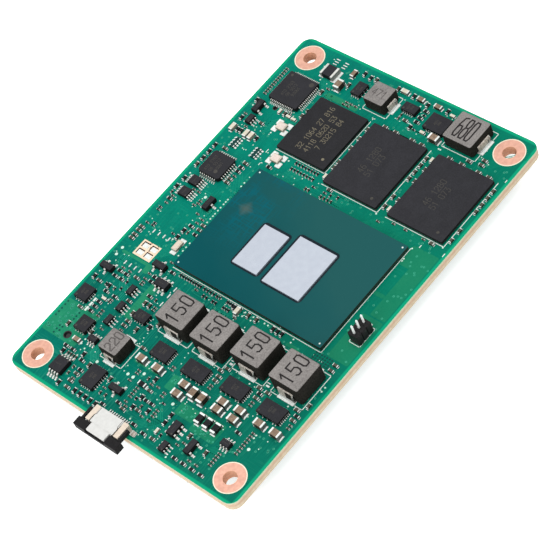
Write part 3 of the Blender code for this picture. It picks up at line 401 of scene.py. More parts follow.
def facing_out(shape):
    """The surface with its faces turned round if it encloses a negative volume."""
    starts = np.concatenate([[0], np.cumsum(shape.counts)[:-1]])
    volume = 0.0
    for corner in range(1, int(shape.counts.max()) - 1):
        has = shape.counts > corner + 1
        first = shape.points[shape.loops[starts[has]]]
        second = shape.points[shape.loops[starts[has] + corner]]
        third = shape.points[shape.loops[starts[has] + corner + 1]]
        volume += np.einsum("ij,ij->", first, np.cross(second, third))
    if volume < 0:
        runs = np.split(shape.loops, np.cumsum(shape.counts)[:-1])
        shape.loops = np.concatenate([run[::-1] for run in runs])
    return shape


def box_corners(node):
    """The lower and the upper corner of a solid's box, in millimetres."""
    return [np.array(corner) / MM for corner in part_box(node)]


def centre_and_size(node):
    """The middle and the size of a solid's box, in millimetres."""
    low, high = box_corners(node)
    return (low + high) / 2, high - low


def placed(name, data):
    """A new object with its data, linked to the scene."""
    thing = bpy.data.objects.new(name, data)
    bpy.context.scene.collection.objects.link(thing)
    return thing


def add_piece(name, shape, materials, replaced=(), body=ROOT):
    """Put a surface into a mesh object in metres, with its materials, and ride it on a body."""
    mesh = bpy.data.meshes.new(name)
    ends = np.cumsum(shape.counts)
    loops = shape.loops.tolist()
    faces = [loops[end - count:end] for end, count in zip(ends.tolist(), shape.counts.tolist())]
    mesh.from_pydata((shape.points * MM).tolist(), [], faces)
    for material in materials:
        mesh.materials.append(bpy.data.materials[material])
    mesh.polygons.foreach_set("material_index", shape.paint.astype(np.int32))
    mesh.polygons.foreach_set("use_smooth", shape.smooth)
    mesh.update()
    piece = placed(name, mesh)
    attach(piece, body)
    if replaced:
        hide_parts(*replaced)


def linear(*colour):
    """A colour given as it looks on a screen, 0 to 255, in the linear values that shaders use."""
    levels = np.array(colour) / 255
    return tuple(np.where(levels < 0.04045, levels / 12.92, ((levels + 0.055) / 1.055) ** 2.4).tolist())


class Finish:
    """A material in the making: its nodes, its Principled shader and the means to join them."""

    def __init__(self, name, roughness, metallic=0.0, specular=0.3):
        self.material = bpy.data.materials.new(name)
        self.material.use_nodes = True
        self.tree = self.material.node_tree
        self.shader = self.tree.nodes["Principled BSDF"]
        self.shader.inputs["Roughness"].default_value = roughness
        self.shader.inputs["Metallic"].default_value = metallic
        self.shader.inputs["Specular IOR Level"].default_value = specular
        self.place = self.node("ShaderNodeTexCoord").outputs["Object"]

    def node(self, kind, **values):
        """Add a node, setting its plain values and its inputs by name."""
        node = self.tree.nodes.new(kind)
        for key, value in values.items():
            if hasattr(node, key):
                setattr(node, key, value)
            else:
                node.inputs[key.replace("_", " ").title()].default_value = value
        return node

    def join(self, source, target):
        """Join an output to an input."""
        self.tree.links.new(source, target)

    def math(self, operation, first, second=0.0):
        """One step of arithmetic on outputs or numbers; returns its output."""
        node = self.node("ShaderNodeMath", operation=operation)
        for socket, value in zip(node.inputs, (first, second)):
            if isinstance(value, (int, float)):
                socket.default_value = value
            else:
                self.join(value, socket)
        return node.outputs[0]

    def times(self, first, second):
        """A product."""
        return self.math("MULTIPLY", first, second)

    def plus(self, first, second):
        """A sum."""
        return self.math("ADD", first, second)

    def size_of(self, value):
        """A number without its sign."""
        return self.math("ABSOLUTE", value)

    def split(self, vector):
        """The outputs X, Y and Z of a vector."""
        node = self.node("ShaderNodeSeparateXYZ")
        self.join(vector, node.inputs[0])
        return node.outputs

    def noise(self, scale, detail=2.0, roughness=0.5):
        """Fractal noise on the object's own coordinates, in features per metre."""
        node = self.node("ShaderNodeTexNoise", scale=scale, detail=detail, roughness=roughness)
        self.join(self.place, node.inputs["Vector"])
        return node.outputs["Fac"]

    def drawn_out(self, across, up, turn=0.0):
        """Noise drawn out into streaks: its features per metre across and up, turned about Z."""
        mapping = self.node("ShaderNodeMapping", rotation=(0, 0, math.radians(turn)), scale=(across, up, 1))
        self.join(self.place, mapping.inputs["Vector"])
        node = self.node("ShaderNodeTexNoise", scale=1.0, detail=1.0)
        self.join(mapping.outputs["Vector"], node.inputs["Vector"])
        return node.outputs["Fac"]

    def steps(self, source, low, high):
        """The source stretched so that low becomes 0 and high becomes 1, and held within them."""
        node = self.node("ShaderNodeMapRange", from_min=low, from_max=high)
        self.join(source, node.inputs["Value"])
        return node.outputs["Result"]

    def mix(self, factor, first, second):
        """A blend of two colours, each a triple or an output, by a factor."""
        node = self.node("ShaderNodeMix", data_type="RGBA")
        self.join(factor, node.inputs[0])
        for socket, colour in ((node.inputs[6], first), (node.inputs[7], second)):
            if isinstance(colour, tuple):
                socket.default_value = (*colour, 1.0)
            else:
                self.join(colour, socket)
        return node.outputs[2]

    def colour(self, source):
        """Give the shader its colour."""
        self.join(source, self.shader.inputs["Base Color"])

    def bump(self, source, strength, distance):
        """Give the shader a bump of a height in metres."""
        node = self.node("ShaderNodeBump", strength=strength, distance=distance)
        self.join(source, node.inputs["Height"])
        self.join(node.outputs["Normal"], self.shader.inputs["Normal"])

    def rough(self, source, low, high):
        """Let the roughness wander between two values."""
        node = self.node("ShaderNodeMapRange", to_min=low, to_max=high)
        self.join(source, node.inputs["Value"])
        self.join(node.outputs["Result"], self.shader.inputs["Roughness"])


def grained(name, colour, other, grain, roughness, metallic, specular, bump, wall=1.0):
    """A finish of two near colours in a fine grain, with its own bump and gloss, and painted shade on its
    walls.
    """
    finish = Finish(name, roughness, metallic, specular)
    noise = finish.noise(grain, 3.0)
    broad = finish.noise(grain / 12, 2.0)
    blend = finish.steps(finish.plus(finish.times(noise, 0.7), finish.times(broad, 0.3)), 0.35, 0.65)
    top = finish.mix(blend, linear(*colour), linear(*other))
    # Painted shade: faces that stand upright get a darker share of the second colour
    if wall < 1:
        lean = finish.split(finish.node("ShaderNodeNewGeometry").outputs["Normal"])
        painted_wall_shade = finish.steps(finish.size_of(lean["Z"]), 0.85, 0.25)
        top = finish.mix(painted_wall_shade, top, linear(*np.multiply(other, wall)))
    finish.colour(top)
    finish.rough(noise, roughness * 0.85, min(1.0, roughness * 1.15))
    finish.bump(noise, bump, GRAIN_DEPTH)


def solder_mask(name, colour, other, clear, busy=0.6):
    """Green lacquer: drifting depth, a faint weave, and covered traces that run in streaks by region."""
    finish = Finish(name, 0.4, 0.0, clear)
    cloth = None
    for direction in ("X", "Y"):
        wave = finish.node("ShaderNodeTexWave", bands_direction=direction, scale=700, distortion=1.5)
        finish.join(finish.place, wave.inputs["Vector"])
        cloth = wave.outputs["Fac"] if cloth is None else finish.times(cloth, wave.outputs["Fac"])
    drift = finish.noise(160, 4.0)
    fine = finish.noise(2600, 2.0)
    depth = finish.plus(finish.times(drift, 0.6), finish.times(fine, 0.4))
    mask = finish.mix(finish.steps(depth, 0.36, 0.64), linear(*np.multiply(colour, 255)),
                      linear(*np.multiply(other, 255)))
    region = finish.noise(230, 1.0)
    spot = finish.split(finish.place)
    crowded = finish.steps(spot["X"], CROWDED_FROM, CROWDED_TO)
    busy = finish.times(finish.plus(finish.times(crowded, 0.75), 0.25), busy)
    light, dark = None, None
    for across, up, turn, low, high in ((160, 4200, 0, 0.4, 0.46), (4200, 160, 0, 0.6, 0.54),
                                        (180, 4200, 45, 0.52, 0.56)):
        streak = finish.drawn_out(across, up, turn)
        here = finish.steps(region, high, low)
        above = finish.times(finish.steps(streak, 0.58, 0.64), here)
        below = finish.times(finish.steps(streak, 0.42, 0.36), here)
        light = above if light is None else finish.math("MAXIMUM", light, above)
        dark = below if dark is None else finish.math("MAXIMUM", dark, below)
    mask = finish.mix(finish.times(finish.times(light, 0.5), busy), mask, linear(60, 168, 136))
    mask = finish.mix(finish.times(dark, busy), mask, linear(0, 88, 80))
    near = finish.steps(spot["Y"], 4 * MM, -14 * MM)
    mask = finish.mix(finish.times(near, 0.5), mask, linear(0, 106, 78))
    finish.rough(fine, 0.3, 0.45)
    finish.bump(finish.plus(cloth, finish.times(fine, 0.6)), 0.12, GRAIN_DEPTH)
    return finish, mask


def board_finish():
    """The board: lacquer on its two faces, with painted shade over the crowded end, and pale glass-fibre
    laminate with copper lines and a painted highlight on its upper rim at its edge.
    """
    colours = bpy.context.scene.module_colours
    finish, mask = solder_mask("board_mask", colours.mask, colours.mask_deep, 0.04)
    normal = finish.split(finish.node("ShaderNodeNewGeometry").outputs["True Normal"])
    flat = finish.math("GREATER_THAN", finish.size_of(normal["Z"]), 0.5)
    spot = finish.split(finish.place)
    past_end = finish.math("SUBTRACT", finish.size_of(spot["X"]), BORDER_X)
    past_side = finish.math("SUBTRACT", finish.size_of(spot["Y"]), BORDER_Y)
    border = finish.steps(finish.math("MAXIMUM", past_end, past_side), 0.0, 0.25 * MM)
    # Painted shade among the crowded parts at the -X end, together with the darker lacquer in the gaps
    # between them: the lacquer is darkened towards that end
    crowded = finish.steps(spot["X"], CROWDED_FROM, CROWDED_TO)
    mask = finish.mix(finish.times(crowded, 0.4), mask, linear(0, 88, 78))
    mask = finish.mix(border, mask, linear(8, 148, 110))
    layer = finish.math("FRACT", finish.times(spot["Z"], 1 / LAYER_PITCH))
    line = finish.math("LESS_THAN", layer, 0.16)
    cloth = finish.steps(finish.noise(1800, 3.0), 0.3, 0.7)
    fibre = finish.mix(cloth, linear(208, 190, 160), linear(224, 208, 182))
    from_middle = finish.size_of(finish.math("SUBTRACT", spot["Z"], CORE_MIDDLE))
    core = finish.steps(from_middle, 0.4 * MM, 0.2 * MM)
    fibre = finish.mix(finish.times(core, 0.5), fibre, linear(196, 154, 128))
    # Painted highlight: the upper rim of the board's edge is lighter and greener
    rim = finish.math("GREATER_THAN", spot["Z"], RIM_HIGHLIGHT_START)
    fibre = finish.mix(rim, fibre, linear(190, 214, 186))
    edge = finish.mix(finish.times(line, 0.25), fibre, linear(150, 112, 70))
    finish.colour(finish.mix(flat, edge, mask))


def covered_copper():
    """Lacquer over copper: the same green, paler and yellower."""
    colours = bpy.context.scene.module_colours
    finish, mask = solder_mask("mask_over_copper", colours.pour, colours.pour_deep, 0.05, 0.1)
    finish.colour(mask)
    finish, mask = solder_mask("mask_over_trace", colours.trace, colours.mask, 0.04)
    finish.colour(mask)


def laminate_finish():
    """The processor's laminate: teal lacquer, greyer to one corner, with fine lines and a faint stain."""
    finish = Finish("package_mask", 0.4, 0.0, 0.03)
    spot = finish.split(finish.place)
    across, up = spot["X"], spot["Y"]
    drift = finish.times(finish.noise(110, 4.0), 24 * MM)
    along = finish.plus(finish.math("SUBTRACT", across, up), drift)
    teal = finish.mix(finish.steps(along, -4 * MM, 28 * MM), linear(8, 74, 79), linear(30, 81, 81))
    weave = finish.steps(finish.drawn_out(260, 2400, 20), 0.48, 0.6)
    other = finish.steps(finish.drawn_out(2400, 260, 20), 0.48, 0.6)
    lines = finish.math("MAXIMUM", weave, other)
    upper_right = finish.times(finish.steps(up, 1 * MM, 6 * MM), finish.steps(across, -5 * MM, 2 * MM))
    region = finish.times(finish.steps(finish.noise(150, 2.0), 0.45, 0.58), upper_right)
    teal = finish.mix(finish.times(finish.times(lines, region), 0.6), teal, linear(2, 90, 102))
    away = finish.plus(finish.size_of(finish.math("SUBTRACT", across, 4.6 * MM)),
                       finish.size_of(finish.math("SUBTRACT", up, 10.2 * MM)))
    stain = finish.times(finish.steps(away, 2 * MM, 0.3 * MM), 0.45)
    finish.colour(finish.mix(stain, teal, linear(92, 96, 84)))
    finish.bump(finish.noise(5000, 2.0), 0.08, FINE_DEPTH)


def silicon_finish():
    """A bare die: polished, pale and bluish, with hardly any grain."""
    finish = Finish("die_silicon", 0.25, 0.5, 0.2)
    noise = finish.noise(900, 4.0)
    finish.colour(finish.mix(finish.steps(noise, 0.3, 0.7), linear(192, 199, 211), linear(195, 202, 213)))
    finish.rough(noise, 0.16, 0.3)
    finish.bump(finish.noise(4200, 3.0), 0.05, FINE_DEPTH)


# Grained finishes: two near colours, features per metre, roughness, metallic, specular, bump, and
# where the walls carry painted shade, their share of the second colour
GRAINED = {
    "bare_copper": ((222, 172, 150), (202, 152, 134), 1600, 0.5, 0.25, 0.2, 0.4),
    "copper_rim": ((240, 232, 212), (224, 214, 188), 2500, 0.5, 0.0, 0.1, 0.2),
    # Copper plating of the screw holes, made lighter as painted light against the shade inside them
    "hole_plating_painted_light": ((236, 186, 156), (214, 160, 130), 2500, 0.45, 0.1, 0.2, 0.4),
    "gilded_pad": ((240, 216, 190), (228, 200, 172), 2500, 0.5, 0.1, 0.2, 0.3),
    "tinned_spot": ((206, 230, 216), (184, 212, 198), 3500, 0.5, 0.1, 0.2, 0.3),
    "solder": ((240, 244, 240), (200, 206, 202), 3500, 0.45, 0.2, 0.3, 0.5, 0.5),
    "tinned_lead": ((228, 228, 222), (188, 188, 182), 4000, 0.45, 0.25, 0.3, 0.4, 0.7),
    "silkscreen": ((226, 232, 226), (200, 214, 206), 5000, 0.7, 0.0, 0.05, 0.4),
    "moulded_black_top": ((50, 50, 54), (40, 40, 43), 6000, 0.62, 0.0, 0.06, 0.6),
    "moulded_black_side": ((28, 28, 30), (19, 19, 20), 5000, 0.6, 0.0, 0.06, 0.5),
    "laser_mark": ((76, 74, 70), (64, 62, 59), 5000, 0.7, 0.0, 0.06, 0.3),
    "storage_top": ((44, 44, 47), (36, 36, 38), 6000, 0.62, 0.0, 0.06, 0.6),
    "choke_top": ((142, 138, 135), (112, 108, 106), 4200, 0.75, 0.05, 0.08, 0.8),
    "choke_side": ((44, 42, 38), (22, 21, 19), 3800, 0.7, 0.0, 0.06, 0.8),
    "choke_print": ((48, 46, 46), (36, 34, 34), 5000, 0.7, 0.0, 0.05, 0.2),
    "choke_faint_print": ((92, 88, 86), (80, 77, 76), 5000, 0.7, 0.0, 0.05, 0.2),
    "choke_strip": ((206, 200, 190), (140, 130, 120), 3500, 0.45, 0.3, 0.3, 0.4),
    "ceramic_brown": ((84, 82, 72), (60, 58, 50), 2600, 0.5, 0.0, 0.1, 0.3, 0.6),
    "array_teal": ((22, 66, 62), (14, 50, 48), 2600, 0.45, 0.0, 0.1, 0.2),
    "storage_print": ((122, 116, 98), (104, 98, 84), 5000, 0.7, 0.0, 0.05, 0.2),
    "ceramic_tan": ((146, 126, 108), (108, 90, 76), 2600, 0.5, 0.0, 0.1, 0.3, 0.45),
    "ceramic_pale": ((214, 206, 190), (196, 188, 170), 2600, 0.5, 0.0, 0.1, 0.3, 0.75),
    "chip_black": ((36, 36, 38), (24, 24, 26), 2600, 0.4, 0.0, 0.08, 0.2),
    "underfill": ((26, 38, 46), (16, 26, 34), 2200, 0.45, 0.0, 0.08, 0.4),
    "nylon_cream": ((216, 202, 186), (202, 188, 172), 1800, 0.5, 0.0, 0.1, 0.2),
    "nylon_white": ((206, 206, 203), (196, 196, 193), 1800, 0.5, 0.0, 0.1, 0.2),
    # Painted shade for the cable connector's gaps and crevices
    "nylon_painted_shade": ((96, 90, 80), (80, 74, 66), 1800, 0.5, 0.0, 0.1, 0.2),
    "nylon_black": ((32, 31, 32), (22, 21, 22), 3000, 0.5, 0.0, 0.1, 0.3),
    "plug_black": ((22, 21, 20), (15, 14, 14), 3000, 0.45, 0.0, 0.1, 0.3),
    "contact_gold": ((214, 172, 98), (186, 144, 76), 3000, 0.3, 0.8, 0.3, 0.2),
    "pin_white": ((244, 248, 246), (230, 236, 234), 3000, 0.4, 0.1, 0.3, 0.2),
    "via_rim": ((62, 160, 130), (48, 146, 118), 2500, 0.4, 0.0, 0.1, 0.2),
    # Painted shadow at the edges of the empty footprint's windows
    "window_painted_shadow": ((70, 48, 36), (52, 36, 28), 2500, 0.5, 0.0, 0.1, 0.2),
    "lid_metal": ((226, 210, 200), (204, 190, 180), 3000, 0.4, 0.15, 0.3, 0.3),
    "laminate_edge": ((50, 66, 58), (32, 46, 42), 2600, 0.6, 0.0, 0.08, 0.3),
    "mask_over_gap": ((4, 78, 70), (2, 62, 56), 2500, 0.4, 0.0, 0.1, 0.2),
}


def make_finishes():
    """Every material of the module."""
    board_finish()
    covered_copper()
    laminate_finish()
    silicon_finish()
    for name, values in GRAINED.items():
        grained(name, *values)


def chip(size_name):
    """A chip lying along X: a ceramic body, a tinned cap at each end, and solder run out on its pads."""
    length, width, height = CHIP_SIZES[size_name]
    cap = (0.2 if size_name in ("capacitor", "resistor") else 0.17) * length
    body = slab(length - cap, width + 0.02, 0, height + 0.015, 0.02, 0.03, 1)
    end = slab(cap, width + 0.04, 0, height + 0.03, 0.04, 0.04, 1, paint=1)
    run = slab(0.24 * length, width * 0.9, 0, 0.2 * height, 0.03, 0.03, 1, paint=1, draft=0.08 * length)
    pad = slab(0.3 * length, width * 1.04, 0, 0.06, 0.04, 0.03, 1, paint=1)
    half = joined(end.moved(((length - cap) / 2 + 0.02, 0, 0)), run.moved((0.5 * length, 0, 0)),
                  pad.moved((0.47 * length, 0, 0)))
    return joined(body, half, half.turned(180))


def chip_array():
    """Four resistors in one body, with four fingers along each of its X sides."""
    length, width, height = CHIP_SIZES["array"]
    body = slab(length + 0.02, width + 0.02, 0, height + 0.015, 0.03, 0.03, 1)
    cap = slab(0.24, 0.34, 0, height + 0.035, 0.03, 0.03, 1, paint=1).moved((length / 2 - 0.06, 0, 0))
    foot = slab(0.5, 0.36, 0, 0.1, 0.04, 0.03, 1, paint=1).moved((length / 2 + 0.24, 0, 0))
    side = side_by_side(joined(cap, foot), 0, evenly(4, 0.62))
    return joined(body, side, side.turned(180))


def row_places(x, y, count=1, across=0.0, up=0.0):
    """The places of a row on the board's top: the first one and its steps on."""
    numbers = np.arange(count)
    return np.column_stack([x + numbers * across, y + numbers * up, np.full(count, BOARD_TOP)])


class SmallChips(bpy.types.Operator):
    """Make the small chip resistors and capacitors of the board's top, in groups by finish"""

    bl_idname = "module.small_chips"
    bl_label = "Small Chips"

    def execute(self, context):
        """Collect the rows of each finish into one surface."""
        finishes = {"tan": "ceramic_tan", "black": "chip_black", "pale": "ceramic_pale"}
        for finish, material in finishes.items():
            shapes = []
            for (row_finish, size_name, direction), rows in CHIP_ROWS.items():
                if row_finish != finish:
                    continue
                places = np.concatenate([row_places(*row) for row in rows])
                turn = 0 if direction == "x" else 90
                one = chip_array() if size_name == "array" else chip(size_name)
                if size_name in ("mini", "small", "array"):
                    one.paint[one.paint == 0] = 3 if size_name == "array" else 2
                shapes.append(repeated(one, places, [turn] * len(places)))
            least = "ceramic_brown" if finish == "tan" else material
            add_piece("small_chips_" + finish, joined(*shapes),
                      (material, "solder", least, "array_teal"))
        return {"FINISHED"}


class Board(bpy.types.Operator):
    """Give the circuit board its finish, and its copper rings and plated holes"""

    bl_idname = "module.board"
    bl_label = "Board"

    def execute(self, context):
        """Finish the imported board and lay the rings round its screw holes."""
        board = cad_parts["circuit_board"]
        board.material_slots[0].material = bpy.data.materials["board_mask"]
        sizes = context.scene.module_sizes
        low, high = box_corners("circuit_board")
        reach = (high[:2] - low[:2]) / 2 - sizes.hole_inset / MM
        hole = sizes.hole_radius / MM
        outer = sizes.ring_radius / MM
        ring = joined(
            annulus(hole - 0.02, outer, PAD_BASE, BOARD_TOP + 0.035),
            annulus(hole - 0.02, outer, -0.035, 0.02),
        )
        rim = annulus(outer - 0.01, outer + 0.17, PAD_BASE, BOARD_TOP + 0.03, paint=1)
        # Painted light: the barrels are lighter than the ring's copper, lifting the shade in the holes
        barrel = annulus(hole - 0.06, hole - 0.005, -0.03, BOARD_TOP + 0.03, paint=2)
        whole = repeated(joined(ring, rim, barrel), four_corners(*reach))
        add_piece("screw_rings", whole, ("bare_copper", "copper_rim", "hole_plating_painted_light"))
        return {"FINISHED"}


class Processor(bpy.types.Operator):
    """Make the processor: laminate with marks at its corners, two dies and their underfill"""

    bl_idname = "module.processor"
    bl_label = "Processor"

    def execute(self, context):
        """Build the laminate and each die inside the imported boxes."""
        middle, size = centre_and_size("processor_substrate")
        top = middle[2] + size[2] / 2
        body = slab(size[0], size[1], SEAT, top, 0.15, 0.03, 2, paint=1, cap_paint=0)
        body = body.moved((middle[0], middle[1], 0))
        balls_per_side = 26
        pitch = size[0] / balls_per_side
        ball = disc(0.22, BOARD_TOP, SEAT + 0.02, 8, paint=2)
        along = evenly(balls_per_side, pitch)
        rows = int(size[1] / pitch)
        up = evenly(rows, pitch)
        edge_x, edge_y = along[-1], up[-1]
        spots = np.concatenate([
            np.column_stack([along, np.full(len(along), -edge_y)]),
            np.column_stack([along, np.full(len(along), edge_y)]),
            np.column_stack([np.full(rows, -edge_x), up]),
            np.column_stack([np.full(rows, edge_x), up]),
        ]) + middle[None, :2]
        balls = repeated(ball, at_height(spots))
        reach = size[:2] / 2 - 0.7
        marks = four_corners(*reach)
        marks[:, :2] += middle[:2]
        dots = repeated(disc(0.17, top - 0.01, top + 0.012, 10, paint=3), marks)
        add_piece("processor_substrate_skin", joined(body, balls, dots),
                  ("package_mask", "laminate_edge", "solder", "silkscreen"),
                  ("processor_substrate",))
        for node in ("processor_die", "companion_die"):
            middle, size = centre_and_size(node)
            high = middle[2] + size[2] / 2
            die = slab(size[0], size[1], top - 0.01, high, 0.05, 0.02, 1)
            profile = ((-0.5, top - 0.01), (-0.47, top + 0.01), (-0.3, top + 0.04),
                       (-0.02, high - 0.15), (0.3, high - 0.15))
            skirt = ring_stack(outline_rings(size[0], size[1], 0.3, profile, 4), 1, smooth=True)
            whole = joined(die, skirt.moved((0.2, 0.2, 0))).moved((middle[0], middle[1], 0))
            add_piece(node + "_skin", whole, ("die_silicon", "underfill"), (node,))
        return {"FINISHED"}


def seat_places(node):
    """A solid's middle seen from above as a move, its size, and the height of its top."""
    middle, size = centre_and_size(node)
    return (middle[0], middle[1], 0), size, middle[2] + size[2] / 2


def moulded(width, length, low, high, draft=0.06):
    """A moulded plastic body: leaning sides with a parting line, and a matt top."""
    return slab(width, length, low, high, 0.06, 0.03, 1, paint=1, cap_paint=0, draft=draft)


def pin_mark(place, top, radius):
    """A round dimple at a package's first pin: a thin spot lying on its top."""
    return disc(radius, top - 0.02, top + 0.008, 14, paint=2).moved((*place, 0))


def bent_lead(reach, high, width, foot):
    """A lead leaving a body's side at half its height and bending down to a flat foot."""
    knee = 0.35 * (reach - foot)
    path = [(-0.3, high), (knee, high), (knee + 0.1, high - 0.06),
            (reach - foot - 0.02, BOARD_TOP + 0.2), (reach - foot + 0.1, BOARD_TOP + 0.12),
            (reach, BOARD_TOP + 0.11)]
    return strip(path, width, 0.13, paint=3)


def solder_foot(reach, width, foot):
    """The pad under a lead's foot and the solder on it, run a little past the toe."""
    pad = slab(foot + 0.3, width + 0.06, 0, 0.08, 0.04, 0.03, 1, paint=4)
    return pad.moved((reach - foot / 2 + 0.1, 0, BOARD_TOP - 0.03))


# Kinds of leaded package: length along its lead rows, width, height, pitch of the leads, width of
# one, reach from the body, then the leads' numbers along the -Y and the +Y side
LEAD_KINDS = {
    "three_lead": (2.9, 1.3, 0.8, 0.95, 0.4, 0.55, (0,), (-1, 1)),
    "six_lead": (2.9, 1.6, 0.9, 0.95, 0.4, 0.6, (-1, 0, 1), (-1, 0, 1)),
    "six_lead_small": (2.0, 1.25, 0.7, 0.65, 0.22, 0.45, (-1, 0, 1), (-1, 0, 1)),
    "eight_lead": (2.9, 3.0, 0.8, 0.65, 0.3, 0.9, (-1.5, -0.5, 0.5, 1.5), (-1.5, -0.5, 0.5, 1.5)),
    "eight_lead_small": (2.0, 2.2, 0.6, 0.5, 0.22, 0.8, (-1.5, -0.5, 0.5, 1.5), (-1.5, -0.5, 0.5, 1.5)),
}

# Packages with bent leads by kind: solid, turn in degrees
LEADED = {
    "eight_lead_small": (
        ("level_shifter_1", 0), ("level_shifter_2", 0),
    ),
    "eight_lead": (
        ("sensor_chip", 90),
    ),
    "three_lead": (
        ("transistor_1", 0), ("transistor_2", 180), ("transistor_3", 270), ("transistor_4", 90),
        ("transistor_5", 180), ("transistor_6", 270),
    ),
    "six_lead_small": (
        ("gate_chip_1", 0), ("gate_chip_2", 0), ("gate_chip_3", 0), ("gate_chip_4", 0),
        ("gate_chip_5", 0), ("gate_chip_6", 90), ("gate_chip_7", 90),
    ),
    "six_lead": (
        ("supervisor_chip_1", 90), ("supervisor_chip_2", 0),
    ),
}
PLASTIC_PAINTS = ("moulded_black_top", "moulded_black_side", "laser_mark", "tinned_lead", "solder")


def leaded_shape(kind):
    """A package of a kind about the origin: its lead rows lie along X, on its -Y and +Y sides."""
    along, across, height, pitch, width, reach, near, far = LEAD_KINDS[kind]
    top = SEAT + height
    foot = 0.4
    parts = [moulded(along, across, SEAT - 0.18, top)]
    side = across / 2
    lead = bent_lead(reach, SEAT + height / 2, width, foot)
    pad = solder_foot(reach, width, foot)
    one = joined(lead, pad).moved((side, 0, 0))
    for places, turn in ((near, -90), (far, 90)):
        row = one.turned(turn)
        moves = [(number * pitch, 0, 0) for number in places]
        parts.append(repeated(row, moves))
    if len(near) > 2:
        parts.append(pin_mark((-along / 2 + 0.32, -side + 0.3), top, 0.12 + 0.02 * along))
    bar = plate(0.07, 0.28, top - 0.01, top + PRINT_RISE, paint=2)
    marks = [(shift, 0.04, 0) for shift in evenly(5, 0.24)]
    parts.append(repeated(bar, marks))
    return joined(*parts)


class LeadedPackages(bpy.types.Operator):
    """Make the small packages with bent leads: transistors, gates, shifters and the sensor"""

    bl_idname = "module.leaded_packages"
    bl_label = "Leaded Packages"

    def execute(self, context):
        """Build one surface for each kind, with every package of that kind in it."""
        for kind in LEAD_KINDS:
            shape = leaded_shape(kind)
            names, turns = zip(*LEADED[kind])
            whole = repeated(shape, [seat_places(name)[0] for name in names], turns)
            add_piece(kind + "_packages", whole, PLASTIC_PAINTS, names)
        return {"FINISHED"}


# Places of pads along one side that more than one flat package has
FOUR_PADS = (-0.9, -0.3, 0.3, 0.9)
FIVE_PADS = (-1.0, -0.5, 0, 0.5, 1.0)
SIX_PADS = (-1.25, -0.75, -0.25, 0.25, 0.75, 1.25)
SEVEN_PADS = (-1.5, -1.0, -0.5, 0, 0.5, 1.0, 1.5)
CLOSE_PADS = (-1.2, -0.8, -0.4, 0, 0.4, 0.8, 1.2)
SWITCH_END = (-0.75, -0.25, 0.25, 0.75)
SWITCH_SIDES = (FOUR_PADS, SWITCH_END, FOUR_PADS, SWITCH_END)
STAGE_SIDES = ((-1.8, -0.9, 0.3, 1.6), FIVE_PADS, (-2.2, -1.0, 0, 1.3, 1.9), CLOSE_PADS)

# Flat packages: solid, then the pads' places along each side in the order +X, +Y, -X, -Y
LEADLESS = (
    ("standby_regulator", FIVE_PADS, SEVEN_PADS, FIVE_PADS, SEVEN_PADS),
    ("core_regulator", FOUR_PADS, (-0.4, 0.4), FOUR_PADS, (-0.4, 0.4)),
    ("memory_regulator", SIX_PADS, FIVE_PADS, SIX_PADS, FIVE_PADS),
    ("bus_regulator", FIVE_PADS, (), FIVE_PADS, ()),
    ("input_regulator", (-0.6, -0.2, 0.2, 0.6), (-0.8, 0, 0.8), SWITCH_END, (-0.8, 0, 0.8)),
    ("load_switch_1", *SWITCH_SIDES),
    ("load_switch_2", *SWITCH_SIDES),
    ("power_stage_1", (-1.4, -0.5, 0.6, 1.4), FIVE_PADS, (-1.5, -0.8, 0.4, 1.2), CLOSE_PADS),
    ("power_stage_2", *STAGE_SIDES),
    ("power_stage_3", *STAGE_SIDES),
    ("power_stage_4", *STAGE_SIDES),
)


class LeadlessPackages(bpy.types.Operator):
    """Make the flat leadless regulators, switches and power stages with their edge pads"""

    bl_idname = "module.leadless_packages"
    bl_label = "Leadless Packages"

    def execute(self, context):
        """Build each body with its dimple, and pads that show at its four edges."""
        parts = []
        for name, *sides in LEADLESS:
            place, size, top = seat_places(name)
            pieces = [moulded(size[0], size[1], SEAT - 0.26, top, 0.0)]
            pieces.append(pin_mark((-size[0] / 2 + 0.45, size[1] / 2 - 0.45), top, 0.2))
            pad = slab(0.34, 0.18, PAD_BASE, BOARD_TOP + 0.12, 0.05, 0.04, 1, paint=4)
            flank = slab(0.12, 0.2, BOARD_TOP, SEAT + 0.2, 0.02, 0.02, 1, paint=4)
            contact = joined(pad, flank.moved((-0.14, 0, 0)))
            for turn, places in zip((0, 90, 180, 270), sides):
                reach = size[turn // 90 % 2] / 2
                if places:
                    pieces.append(side_by_side(contact, reach + 0.1, places).turned(turn))
            for text, up in (("4071", 0.35), ("268", -0.35)):
                pieces.append(number_print(text, 0.42, 0.2, 0.32, 0.06, top, 2).moved((0.1, up, 0)))
            parts.append(joined(*pieces).moved(place))
        add_piece("leadless_packages", joined(*parts), PLASTIC_PAINTS,
                  [row[0] for row in LEADLESS])
        return {"FINISHED"}


# Square packages: solid, leads a side, pitch, reach, corner cut, then the dimples: their places in
# shares of half a side, and their radii
QUADS = (
    ("network_controller", 14, 0.4, 0.35, 0.25, ((0.7, -0.7, 0.5), (0.76, 0.72, 0.3))),
    ("board_controller", 8, 0.5, 0.35, 0.5, ((-0.5, -0.35, 0.4),)),
)


